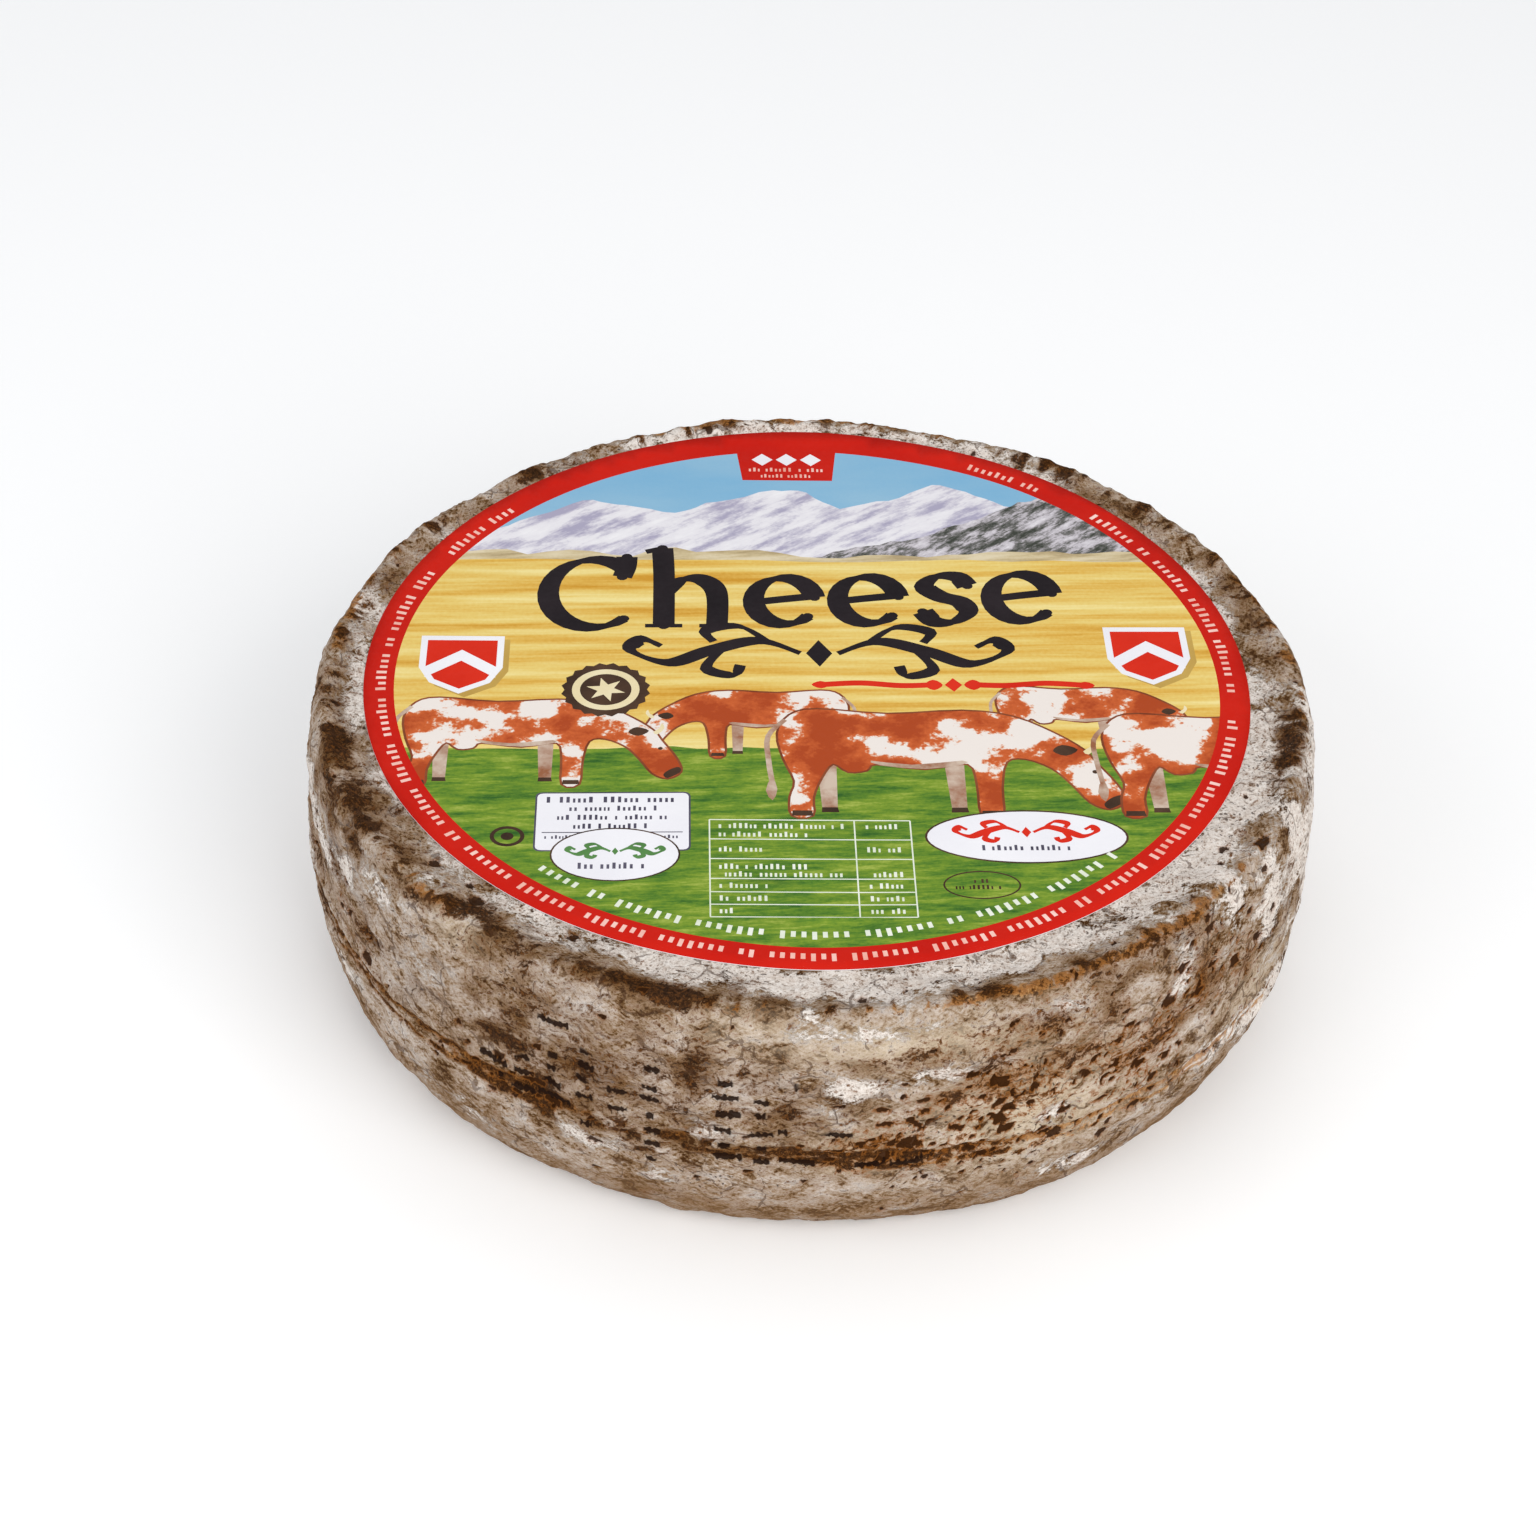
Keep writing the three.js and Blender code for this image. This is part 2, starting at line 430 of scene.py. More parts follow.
def crestMarks(p, angle, arc):
    # The crest's torn dark edge, its orange line, the streaks that run over it, and the lift of it all.
    crestAt = rindLook["crestAt"] + 0.9 * noiseAt(p, 8, 71)
    turn = math.radians(angle)
    combed = Vector((86 * math.cos(turn), 86 * math.sin(turn), arc / 7))
    streak = 0.55 * noise.noise(combed) + noise.noise(combed / 2.6)
    torn = 0.5 * noiseAt(p, 5, 73) + 0.45 * noiseAt(p, 1.9, 75) + 0.7 * streak
    onCrest = ridge(arc - crestAt - 1.0, 2.3)
    dark = onCrest * smoothStep(0.25, 0.75, stretchSum("crestDark", angle) + torn)
    orangeWide = max(0.5, 1.2 + 1.0 * noiseAt(p, 6, 77) + 0.5 * streak)
    orange = ridge(arc - crestAt + 0.6 - 1.2 * streak, orangeWide)
    orange *= smoothStep(0.15, 0.8, stretchSum("crestOrange", angle) + 0.8 * torn)
    lift = ridge(arc - crestAt, 1.5) * (0.6 * torn + 0.25)
    return dark, orange, onCrest * max(0.0, streak), lift


def seamMarks(p, angle, arc, seam):
    # Two beaded lines about 2 mm apart: their dark beads, their rust, and the lift.
    beads = 0.9 * noiseAt(p, 2.2, 83) + 0.5 * noiseAt(p, 5, 85)
    parting = 2.7 + 1.5 * noiseAt(p, 22, 87)
    upper = ridge(arc - seam, 0.8)
    lower = ridge(arc - seam + parting, 0.7)
    rust = (upper + 0.9 * lower) * smoothStep(0.05, 0.6, stretchSum("seamRust", angle) + beads)
    dark = (upper + lower) * smoothStep(0.45, 0.75, stretchSum("seamDark", angle) + 1.5 * beads)
    lift = 0.25 * ridge(arc - seam - 2.2, 1.0) - 0.4 * (upper + 0.6 * lower)
    return dark, rust, lift


def rindRelief(co, arc):
    # Returns the displacement in mm and the marks that the material reads.
    p = co / mm
    angle = math.degrees(math.atan2(co.y, co.x)) % 360
    lying = Vector((p.x, p.y, p.z * 1.9))  # features lie longer round the side than up it
    wobble = 0.6 * noiseAt(lying, 5, 31)
    look = rindLook
    knob = noiseAt(lying, 6.5, 11)
    wrinkle = noise.fractal(lying / 4.0 + Vector((9, 4, 2)), 0.8, 2.1, 3)
    tooth = noiseAt(p, 1.5, 3)
    folds = abs(noise.fractal(lying / 9.0 + Vector((1, 7, 3)), 0.7, 2.2, 3))
    crease = max(0.0, 1 - folds / 0.04) * smoothStep(0.05, 0.4, noiseAt(p, 18, 21))
    pitted = min(1.2, spotSum("pitted", angle, arc, wobble))
    seam = seamHeight(angle) + 0.9 * noiseAt(p, 9, 81) + 0.7 * noiseAt(p, 3.4, 82)
    pit = pitAt(lying, pitted + 0.25 * ridge(arc - seam, 3.0) + 0.06 * ridge(arc - 68, 3.5))
    crestDark, crestOrange, crestStreak, crestLift = crestMarks(p, angle, arc)
    seamDark, seamRust, seamLift = seamMarks(p, angle, arc, seam)
    stain = spotSum("stain", angle, arc, wobble)
    bloom = spotSum("bloom", angle, arc, wobble)
    onBand = smoothStep(65, 68, arc)

    lift = look["lumps"] * noiseAt(p, 26) + 0.6 * look["lumps"] * noiseAt(p, 13, 5)
    lift += look["knobs"] * knob + look["wrinkles"] * wrinkle + look["tooth"] * tooth
    lift += crestLift + seamLift - look["creases"] * crease - look["pitDepth"] * pit
    lift -= 0.45 * smoothStep(0.55, 1.0, stain + 0.3 * tooth)
    lift += 0.16 * smoothStep(0.4, 0.8, bloom + 0.4 * knob)
    stain += 0.85 * crestDark + 1.25 * seamDark + 0.18 * pitted + 0.35 * crestOrange
    stain += 0.18 * onBand + 0.5 * crestStreak
    marks = {
        "pit": pit,
        "crease": crease,
        "pitted": pitted,
        "bloom": min(1.2, bloom),
        "stain": min(1.4, stain),
        "cream": min(1.0, spotSum("cream", angle, arc, wobble)),
        "grey": min(1.0, spotSum("grey", angle, arc, wobble)),
        "orange": min(1.0, crestOrange + seamRust),
        "woven": min(1.3, spotSum("woven", angle, arc)),
        # low is 1 on the lower side and fades out between 10 and 27 mm up; the paint makes it browner and
        # darker there, partly the rind's own brownish-grey and partly painted shade
        "low": 1 - smoothStep(10, 27, arc + 5 * noiseAt(p, 14, 91)),
        "swell": 0.5 + 0.35 * knob + 0.35 * wrinkle,
    }
    return lift, marks


def shapeRind(bm):
    for name in markNames:
        bm.verts.layers.float.new(name)
    layers = [(name, bm.verts.layers.float[name]) for name in markNames]
    arcLayer = bm.verts.layers.float["arc"]
    leanLayer = bm.verts.layers.float["lean"]
    middle = label["middle"]
    for vert in bm.verts:
        co = vert.co.copy()
        radius = math.hypot(co.x, co.y)
        lean = vert[leanLayer]
        arc = vert[arcLayer] / mm
        lift, marks = rindRelief(co, arc)
        # The relief stops short of the label and of the flat base.
        calm = 1.0
        if arc > 64 and co.z > 0.040:
            fromLabel = math.hypot(co.x - middle.x, co.y - middle.y) - label["radius"]
            calm = smoothStep(0, rindLook["bandCalm"] * mm, fromLabel)
        if arc < 20:
            calm *= smoothStep(84 * mm, 92 * mm, radius)
        outward = Vector((co.x, co.y, 0)) / max(radius, 1e-6)
        normal = outward * math.cos(lean) + Vector((0, 0, math.sin(lean)))
        vert.co = co + normal * lift * mm * calm
        if arc > 60:
            vert.co.z += faceSwell(co.x, co.y) * smoothStep(60, 70, arc)
        vert.co.z = max(0.0, vert.co.z)
        for name, layer in layers:
            vert[layer] = marks[name]


# How the baked sheet is laid out, in mm: the side as three strips, the base as two half discs and the
# covered part of the upper face as one small disc.
bakeSheet = {
    "size": 272.0,
    "gap": 1.4,
    "strips": 3,
    "stripHeight": 78.6,  # of the profile, from the base's edge to just under the label
    "baseScale": 0.64,
    "baseReach": 90,
    "baseStep": 118,
    "faceScale": 0.13,
    "facePlace": (28.0, 254.0),
}


degreeStep = wheel["waist"] / mm * math.pi / 180  # mm along the side
mapUnit = 100  # mm to one unit of rindMap


def roundTurn(co):
    # Angle round the wheel in degrees, counted from the back.
    return (math.degrees(math.atan2(co.y, co.x)) - 90) % 360


def bakePlace(co, angle, arc, faceMiddle, faceArc):
    # Where a corner of a face goes on the sheet.
    gap = bakeSheet["gap"]
    stripTurn = 360 / bakeSheet["strips"]
    stripStep = bakeSheet["stripHeight"] + gap
    if faceArc < 0:
        x = 4 * gap + abs(co.x) / mm * bakeSheet["baseScale"] + stripTurn * degreeStep
        y = gap + (bakeSheet["baseReach"] + co.y / mm) * bakeSheet["baseScale"]
        y += 0 if faceMiddle.x > 0 else bakeSheet["baseStep"]
    elif faceArc < bakeSheet["stripHeight"]:
        strip = min(bakeSheet["strips"] - 1, int(roundTurn(faceMiddle) // stripTurn))
        x = gap + (angle - stripTurn * strip) * degreeStep
        y = gap + arc + strip * stripStep
    else:
        x = bakeSheet["facePlace"][0] + co.x / mm * bakeSheet["faceScale"]
        y = bakeSheet["facePlace"][1] + co.y / mm * bakeSheet["faceScale"]
    return x / bakeSheet["size"], y / bakeSheet["size"]


def mapRind(bm):
    # rindMap runs round the side and up it.
    arcLayer = bm.verts.layers.float["arc"]
    rindMap = bm.loops.layers.uv.new("rindMap")
    bakeMap = bm.loops.layers.uv.new("OFBake")
    for face in bm.faces:
        middle = face.calc_center_median()
        faceArc = sum(v[arcLayer] for v in face.verts) / len(face.verts) / mm
        turn = roundTurn(middle)
        for loop in face.loops:
            co = loop.vert.co
            arc = loop.vert[arcLayer] / mm
            angle = roundTurn(co) if math.hypot(co.x, co.y) > 1e-6 else turn
            if angle - turn > 180:
                angle -= 360
            if turn - angle > 180:
                angle += 360
            loop[rindMap].uv = (angle * degreeStep / mapUnit, arc / mapUnit)
            loop[bakeMap].uv = bakePlace(co, angle, arc, middle, faceArc)


def finishPiece(bm, name):
    mesh = bpy.data.meshes.new(name)
    bm.to_mesh(mesh)
    bm.free()
    for polygon in mesh.polygons:
        polygon.use_smooth = True
    piece = bpy.data.objects.new(name, mesh)
    bpy.context.scene.collection.objects.link(piece)
    return piece


# Node helpers.
def colourOf(red, green, blue):
    # A screen colour of 0 to 255 as the linear colour that the nodes take.
    linear = []
    for part in (red, green, blue):
        part /= 255
        linear.append(part / 12.92 if part <= 0.04045 else ((part + 0.055) / 1.055) ** 2.4)
    return (*linear, 1)


def fillIn(tree, node, inputs):
    for key, value in inputs.items():
        if isinstance(value, bpy.types.NodeSocket):
            tree.links.new(value, node.inputs[key])
        else:
            node.inputs[key].default_value = value


def addNode(tree, kind, inputs, **settings):
    node = tree.nodes.new("ShaderNode" + kind)
    for key, value in settings.items():
        setattr(node, key, value)
    fillIn(tree, node, inputs)
    return node


def mathOf(tree, operation, *values):
    return addNode(tree, "Math", dict(enumerate(values)), operation=operation).outputs[0]


def vectorOf(tree, operation, *values):
    return addNode(tree, "VectorMath", dict(enumerate(values)), operation=operation).outputs[0]


def partsOf(tree, vector):
    return addNode(tree, "SeparateXYZ", {0: vector}).outputs


def sumOf(tree, *parts):
    # Adds up (value, weight) pairs.
    value, weight = parts[0]
    total = mathOf(tree, "MULTIPLY", value, weight)
    for value, weight in parts[1:]:
        total = mathOf(tree, "MULTIPLY_ADD", value, weight, total)
    return total


def product(tree, a, b):
    return mathOf(tree, "MULTIPLY", a, b)


def stepOf(tree, value, low, high, start=0.0, end=1.0):
    inputs = {"Value": value, "From Min": low, "From Max": high, "To Min": start, "To Max": end}
    return addNode(tree, "MapRange", inputs, interpolation_type="SMOOTHSTEP").outputs["Result"]


def noiseOf(tree, place, size, detail=4.0, rough=0.5, twist=0.0, result="Fac"):
    # Noise whose lumps are about `size` of the place's own units.
    inputs = {"Vector": place, "Scale": 1 / size, "Detail": detail, "Roughness": rough, "Distortion": twist}
    return addNode(tree, "TexNoise", inputs).outputs[result]


def mixColours(tree, amount, a, b):
    # The inputs and the output go by number, because the node has several of each name.
    return addNode(tree, "Mix", {0: amount, 6: a, 7: b}, data_type="RGBA").outputs[2]


def rampOf(tree, value, stops):
    # Stops are (position, screen colour) pairs.
    node = addNode(tree, "ValToRGB", {"Fac": value})
    ramp = node.color_ramp
    while len(ramp.elements) < len(stops):
        ramp.elements.new(0.5)
    for element, (at, shade) in zip(ramp.elements, stops):
        element.position = at
        element.color = colourOf(*shade)
    return node.outputs["Color"]


def newMaterial(name):
    material = bpy.data.materials.new(name)
    material.use_nodes = True
    tree = material.node_tree
    return material, tree


def finishMaterial(tree, colour, roughness, look, height, strength):
    # The look gives the lowest and highest roughness, the specular level and the bump's height.
    bump = addNode(tree, "Bump", {"Height": height, "Strength": strength, "Distance": look["bumpHeight"]})
    fillIn(tree, tree.nodes["Principled BSDF"], {
        "Base Color": colour,
        "Roughness": stepOf(tree, roughness, 0.3, 0.7, *look["roughness"]),
        "Specular IOR Level": look["specular"],
        "Normal": bump.outputs["Normal"],
    })


# The rind's material. Shades are screen colours, with their places on a ramp where there are several.
rindPaint = {
    "mould": (
        (0.32, (66, 40, 18)), (0.40, (112, 82, 52)), (0.47, (150, 125, 100)), (0.54, (175, 156, 139)),
        (0.62, (197, 182, 169)), (0.70, (216, 205, 196)),
    ),
    "grey": (166, 160, 158),
    "cream": (219, 202, 176),
    # brownish-grey laid over the lower side: partly the rind's own colour, partly painted shade
    "low": (136, 104, 72),
    "threads": (104, 78, 56),
    "bloom": ((0.36, (188, 171, 158)), (0.46, (224, 212, 202)), (0.57, (243, 236, 229))),
    "rust": ((0.40, (84, 48, 18)), (0.47, (146, 94, 44)), (0.54, (186, 138, 84)), (0.62, (212, 182, 142))),
    "haloBrown": (116, 82, 50),
    "haloRust": (146, 92, 40),
    "stain": ((0.42, (30, 14, 4)), (0.52, (56, 31, 12)), (0.62, (98, 60, 26))),
    "pitRust": (140, 84, 34),
    "pit": (48, 25, 8),
    "speck": (64, 40, 23),
    "crack": (78, 52, 34),
    "crease": (74, 50, 33),
    "weave": (34, 18, 10),
    "roughness": (0.82, 0.97),
    "specular": 0.04,
    "bumpHeight": 0.8 * mm,
}
# Rows of short beaded bars, as a coarse cloth leaves them, in mm unless noted.
weave = {
    "cell": (6.6, 3.7),  # holds one bar at most
    "halfLength": (0.16, 0.56),  # as a share of the cell
    "height": (0.38, 0.62),  # of the bar's middle, as a share of the cell
    "beadStep": 1.25,
    "threadStep": 1.3,  # between the faint lines of thread low on the side
    "fibreLeans": (0.42, -0.5),  # matted fibres cross at a shallow angle, in radians
    "fibreStretch": (28, 170, 1),
}


def markOf(tree, name):
    return addNode(tree, "Attribute", {}, attribute_name=name).outputs["Fac"]


def paintOver(tree, colour, mask, strength, shade):
    # Lays a shade, or another colour, over the colour where the mask is 1.
    if not isinstance(shade, bpy.types.NodeSocket):
        shade = colourOf(*shade)
    return mixColours(tree, product(tree, mask, strength), colour, shade)


def distanceTo(tree, value, other):
    return mathOf(tree, "ABSOLUTE", mathOf(tree, "SUBTRACT", value, other))


def wovenDashes(tree, wrap, woven):
    # A cell's own random numbers say whether it holds a bar, how long the bar is and how high it sits.
    wander = noiseOf(tree, wrap, 1 / 9, 2.0, result="Color")
    place = vectorOf(tree, "MULTIPLY_ADD", wander, (0.02, 0.03, 0), wrap)
    wide, high = weave["cell"]
    cells = vectorOf(tree, "MULTIPLY", place, (mapUnit / wide, mapUnit / high, 0))
    corner = vectorOf(tree, "FLOOR", cells)
    inCell = partsOf(tree, vectorOf(tree, "FRACTION", cells))
    chance = addNode(tree, "TexWhiteNoise", {"Vector": corner}, noise_dimensions="3D")
    chances = partsOf(tree, chance.outputs["Color"])
    reach = stepOf(tree, chances[0], 0, 1, *weave["halfLength"])
    inLength = stepOf(tree, sumOf(tree, (reach, 1.0), (distanceTo(tree, inCell[0], 0.5), -1.0)), 0.0, 0.06)
    height = stepOf(tree, chances[1], 0, 1, *weave["height"])
    up = distanceTo(tree, inCell[1], height)
    beadTurn = mapUnit * 2 * math.pi / weave["beadStep"]
    beads = mathOf(tree, "SINE", product(tree, partsOf(tree, place)[0], beadTurn))
    ragged = noiseOf(tree, place, 0.014, 4.0, 0.7)
    thick = sumOf(tree, (beads, 0.04), (ragged, 0.60), (1.0, -0.13))
    inHeight = stepOf(tree, sumOf(tree, (thick, 1.0), (up, -1.0)), -0.02, 0.04)
    present = stepOf(tree, sumOf(tree, (woven, 0.9), (chances[2], -1.0), (1.0, 0.02)), 0.0, 0.05)
    return product(tree, product(tree, inLength, inHeight), present)


def rindFields(tree):
    # The places and the noise that every layer of the rind's paint shares, in mm.
    metres = addNode(tree, "TexCoord", {}).outputs["Object"]
    place = vectorOf(tree, "MULTIPLY", metres, (1 / mm, 1 / mm, 1 / mm))
    drift = vectorOf(tree, "SUBTRACT", noiseOf(tree, place, 6.25, 3.0, result="Color"), (0.5, 0.5, 0.5))
    bent = vectorOf(tree, "MULTIPLY_ADD", drift, (6, 6, 6), place)
    lying = vectorOf(tree, "MULTIPLY", bent, (1, 1, 1.8))
    wrap = addNode(tree, "UVMap", {}, uv_map="rindMap").outputs["UV"]
    fibres = []
    for lean in weave["fibreLeans"]:
        turned = addNode(tree, "VectorRotate", {"Vector": wrap, "Angle": lean}, rotation_type="Z_AXIS")
        streaks = vectorOf(tree, "MULTIPLY", turned.outputs[0], weave["fibreStretch"])
        fibres.append(noiseOf(tree, streaks, 1.0, 4.0, twist=0.8))
    return {
        "place": place,
        "bent": bent,
        "lying": lying,
        "wrap": wrap,
        "cloud": noiseOf(tree, lying, 9.0, 5.0, 0.55),
        "patch": noiseOf(tree, lying, 5.0, 7.0, 0.62),
        "clot": noiseOf(tree, lying, 2.0, 6.0, 0.68, 0.3),
        "grain": noiseOf(tree, place, 0.7, 4.0, 0.75),
        "fibre": sumOf(tree, (fibres[0], 0.5), (fibres[1], 0.5)),
    }


def mouldColour(tree, field, mark):
    # The old mould: soft grey-brown clouds with fibres in them, greyer, creamier or browner in places.
    cloud, patch = field["cloud"], field["patch"]
    # The low mark darkens the tone a little towards the bottom: painted shade.
    tone = sumOf(
        tree, (cloud, 0.66), (patch, 0.50), (field["clot"], 0.46), (field["fibre"], 0.62),
        (field["grain"], 0.56), (mark["swell"], 0.05), (mark["low"], -0.03), (1.0, -0.905),
    )
    colour = rampOf(tree, tone, rindPaint["mould"])
    greyed = mixColours(tree, 0.6, colour, colourOf(*rindPaint["grey"]))
    colour = paintOver(tree, colour, mark["grey"], stepOf(tree, patch, 0.40, 0.58, 0.0, 0.75), greyed)
    creamed = mixColours(tree, 0.65, colour, colourOf(*rindPaint["cream"]))
    colour = paintOver(tree, colour, mark["cream"], stepOf(tree, patch, 0.34, 0.48, 0.0, 1.0), creamed)
    # Browner and darker low on the side: partly the rind's own colour, partly painted shade.
    colour = paintOver(tree, colour, mark["low"], 0.5, rindPaint["low"])
    # Faint lines of a cloth's threads low on the side.
    height = partsOf(tree, field["wrap"])[1]
    waver = noiseOf(tree, field["wrap"], 0.09, 3.0, 0.6)
    threads = sumOf(tree, (height, 2 * math.pi * mapUnit / weave["threadStep"]), (waver, 24.0))
    threads = stepOf(tree, mathOf(tree, "SINE", threads), 0.55, 1.0)
    threads = product(tree, threads, stepOf(tree, cloud, 0.42, 0.58))
    return paintOver(tree, colour, product(tree, threads, mark["low"]), 0.35, rindPaint["threads"])


def bloomMask(tree, field, mark):
    # White bloom in torn, matted patches.
    spread = sumOf(
        tree, (mark["bloom"], 0.95), (field["cloud"], 1.5), (field["patch"], 0.9), (field["clot"], 1.2),
        (field["fibre"], 0.9), (field["grain"], 0.6), (1.0, -2.36),
    )
    gaps = stepOf(tree, sumOf(tree, (field["grain"], 0.55), (field["clot"], 0.45)), 0.37, 0.47, 0.45, 1.0)
    return product(tree, stepOf(tree, spread, 0.46, 0.68), gaps)


def paintStains(tree, colour, field, mark):
    # Orange lines, then brown and nearly black stains with ragged edges.
    patch, clot, grain, fibre = (field[name] for name in ("patch", "clot", "grain", "fibre"))
    orangeField = sumOf(tree, (mark["orange"], 0.95), (clot, 1.6), (grain, 1.1), (fibre, 0.8), (1.0, -1.85))
    rust = rampOf(tree, sumOf(tree, (grain, 0.6), (clot, 0.4)), rindPaint["rust"])
    colour = paintOver(tree, colour, stepOf(tree, orangeField, 0.28, 0.62), 0.85, rust)
    stainField = sumOf(
        tree, (mark["stain"], 0.72), (patch, 1.3), (clot, 2.1), (grain, 1.4), (fibre, 0.9), (1.0, -2.80),
    )
    rustiness = sumOf(
        tree, (mark["pitted"], 0.8), (mark["orange"], 0.8), (mark["cream"], 0.3), (patch, 0.6), (1.0, -0.2),
    )
    halo = mixColours(
        tree, stepOf(tree, rustiness, 0.1, 0.9), colourOf(*rindPaint["haloBrown"]),
        colourOf(*rindPaint["haloRust"]),
    )
    colour = mixColours(tree, stepOf(tree, stainField, 0.24, 0.58, 0.0, 0.82), colour, halo)
    darkStain = stepOf(tree, stainField, 0.56, 0.74)
    return paintOver(tree, colour, darkStain, 0.93, rampOf(tree, grain, rindPaint["stain"])), darkStain


def paintPits(tree, colour, field, mark):
    # Rust and dark in the pits.
    depth = sumOf(tree, (mark["pit"], 1.0), (field["clot"], 1.2), (field["grain"], 0.9), (1.0, -1.02))
    rusty = stepOf(tree, mark["pitted"], 0.0, 0.7, 0.45, 0.9)
    colour = paintOver(tree, colour, stepOf(tree, depth, 0.10, 0.45), rusty, rindPaint["pitRust"])
    pitMask = stepOf(tree, depth, 0.42, 0.60)
    return paintOver(tree, colour, pitMask, 0.92, rindPaint["pit"]), pitMask


def paintSpecks(tree, colour, field, mark):
    # Fine dark specks, hairline cracks and creases, finer than the mesh can hold.
    place = field["place"]
    specks = addNode(tree, "TexVoronoi", {"Vector": field["lying"], "Scale": 0.75, "Randomness": 1.0})
    spread = noiseOf(tree, place, 12.0, 3.0, 0.6)
    wide = sumOf(tree, (spread, 1.3), (mark["pitted"], 0.12), (mark["bloom"], 0.04), (1.0, -0.61))
    inSpeck = sumOf(tree, (wide, 1.0), (specks.outputs["Distance"], -1.0), (field["grain"], 0.2))
    speck = stepOf(tree, inSpeck, 0.08, 0.16)
    colour = paintOver(tree, colour, speck, 0.8, rindPaint["speck"])
    cracks = addNode(tree, "TexVoronoi", {"Vector": field["bent"], "Scale": 0.16}, feature="DISTANCE_TO_EDGE")
    crackWide = stepOf(tree, noiseOf(tree, place, 8.0, 4.0, 0.6), 0.50, 0.64, 0.0, 0.04)
    crack = mathOf(tree, "LESS_THAN", cracks.outputs["Distance"], crackWide)
    colour = paintOver(tree, colour, crack, 0.6, rindPaint["crack"])
    inCrease = sumOf(tree, (mark["crease"], 0.8), (field["clot"], 1.0), (1.0, -0.5))
    return paintOver(tree, colour, stepOf(tree, inCrease, 0.35, 0.75), 0.6, rindPaint["crease"]), speck, crack


def makeRindMaterial():
    material, tree = newMaterial("mouldRind")
    field = rindFields(tree)
    mark = {name: markOf(tree, name) for name in markNames}
    clot, grain, fibre = field["clot"], field["grain"], field["fibre"]
    colour = mouldColour(tree, field, mark)
    bloom = bloomMask(tree, field, mark)
    white = rampOf(tree, sumOf(tree, (grain, 0.6), (fibre, 0.4)), rindPaint["bloom"])
    colour = paintOver(tree, colour, bloom, 0.88, white)
    colour, darkStain = paintStains(tree, colour, field, mark)
    colour, pitMask = paintPits(tree, colour, field, mark)
    colour, speck, crack = paintSpecks(tree, colour, field, mark)
    dashes = wovenDashes(tree, field["wrap"], mark["woven"])
    colour = paintOver(tree, colour, dashes, 0.96, rindPaint["weave"])
    height = sumOf(
        tree, (clot, 0.5), (fibre, 0.35), (grain, 0.25), (bloom, 0.15), (darkStain, -0.12), (speck, -0.2),
        (crack, -0.2), (pitMask, -0.2), (dashes, -0.3),
    )
    finishMaterial(tree, colour, grain, rindPaint, height, 1.0)
    return material


bm = spinWheel()
print("wheel spun:", len(bm.verts), "points", len(bm.faces), "faces")
shapeRind(bm)
mapRind(bm)
print("rind shaped and mapped")
rind = finishPiece(bm, "rind_wheel")
rind.data.materials.append(makeRindMaterial())
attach(rind, "root")
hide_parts("cheese_wheel")

# The label's printed picture, drawn flat with its own radius as 1, x to the right and y up.
printing = {
    "ringInner": 0.9318,  # over the ring only the ring and its print show
    "ringInks": ("ringRed", "paleInk"),
    "gridSpacing": 0.036,  # of the points that are added so that no triangle gets long
    "gridReach": 0.985,
    "cellsPerUnit": 20,  # of the coarse grid that tells which shapes are near a spot
    "mergeWithin": 1e-5,
    "bakeRadius": 0.492,  # of the printed face on its baked sheet
    "bareMiddle": 0.07,  # bare paper is mapped small into a corner of that sheet
    "bareScale": 0.12,
    "roughness": (0.54, 0.68),
    "specular": 0.11,
    "bumpHeight": 0.05 * mm,
}
picture = []  # (outline, ink), painted over each other in this order


def placedAt(points, x, y, size=1.0, way=1, turn=0.0):
    # The points of a small drawing in their place; way -1 mirrors it.
    c, s = math.cos(turn), math.sin(turn)
    return [(x + size * (way * a * c - b * s), y + size * (way * a * s + b * c)) for a, b in points]


def ovalLine(x, y, wide, high, steps):
    turns = [2 * math.pi * i / steps for i in range(steps)]
    return [(x + wide * math.cos(a), y + high * math.sin(a)) for a in turns]


def paintOvals(x, y, steps, *ovals):
    # Ovals of several inks round one middle.
    for ink, wide, high in ovals:
        paint(ink, ovalLine(x, y, wide, high, steps))


def boxLine(x, y, wide, high, turn=0.0):
    corners = [(-wide / 2, -high / 2), (wide / 2, -high / 2), (wide / 2, high / 2), (-wide / 2, high / 2)]
    return placedAt(corners, x, y, turn=turn)


def roundedBox(x, y, wide, high, corner):
    points = []
    for k, (sx, sy) in enumerate(((1, 1), (-1, 1), (-1, -1), (1, -1))):
        for i in range(4):
            a = math.pi / 2 * (k + i / 3)
            across = sx * (wide / 2 - corner) + corner * math.cos(a)
            points.append((x + across, y + sy * (high / 2 - corner) + corner * math.sin(a)))
    return points


def lozenge(x, y, wide, high):
    return [(x - wide, y), (x, y - high), (x + wide, y), (x, y + high)]


def starLine(x, y, near, far, points, shift=0.0):
    corners = []
    for i in range(2 * points):
        radius = far if i % 2 else near
        a = math.pi * (i + shift) / points
        corners.append((x + radius * math.cos(a), y + radius * math.sin(a)))
    return corners


def splinePoint(p0, p1, p2, p3, t):
    # Between p1 and p2, on a smooth curve through all four.
    bend = p0 * 2 - p1 * 5 + p2 * 4 - p3
    twist = p1 * 3 - p0 - p2 * 3 + p3
    return (p1 * 2 + (p2 - p0) * t + bend * t * t + twist * t**3) / 2


def softLine(points, steps=4):
    # A closed curve through the points.
    curve = []
    count = len(points)
    for i in range(count):
        near = [Vector(points[(i + k - 1) % count]) for k in range(4)]
        curve += [tuple(splinePoint(*near, j / steps)) for j in range(steps)]
    return curve


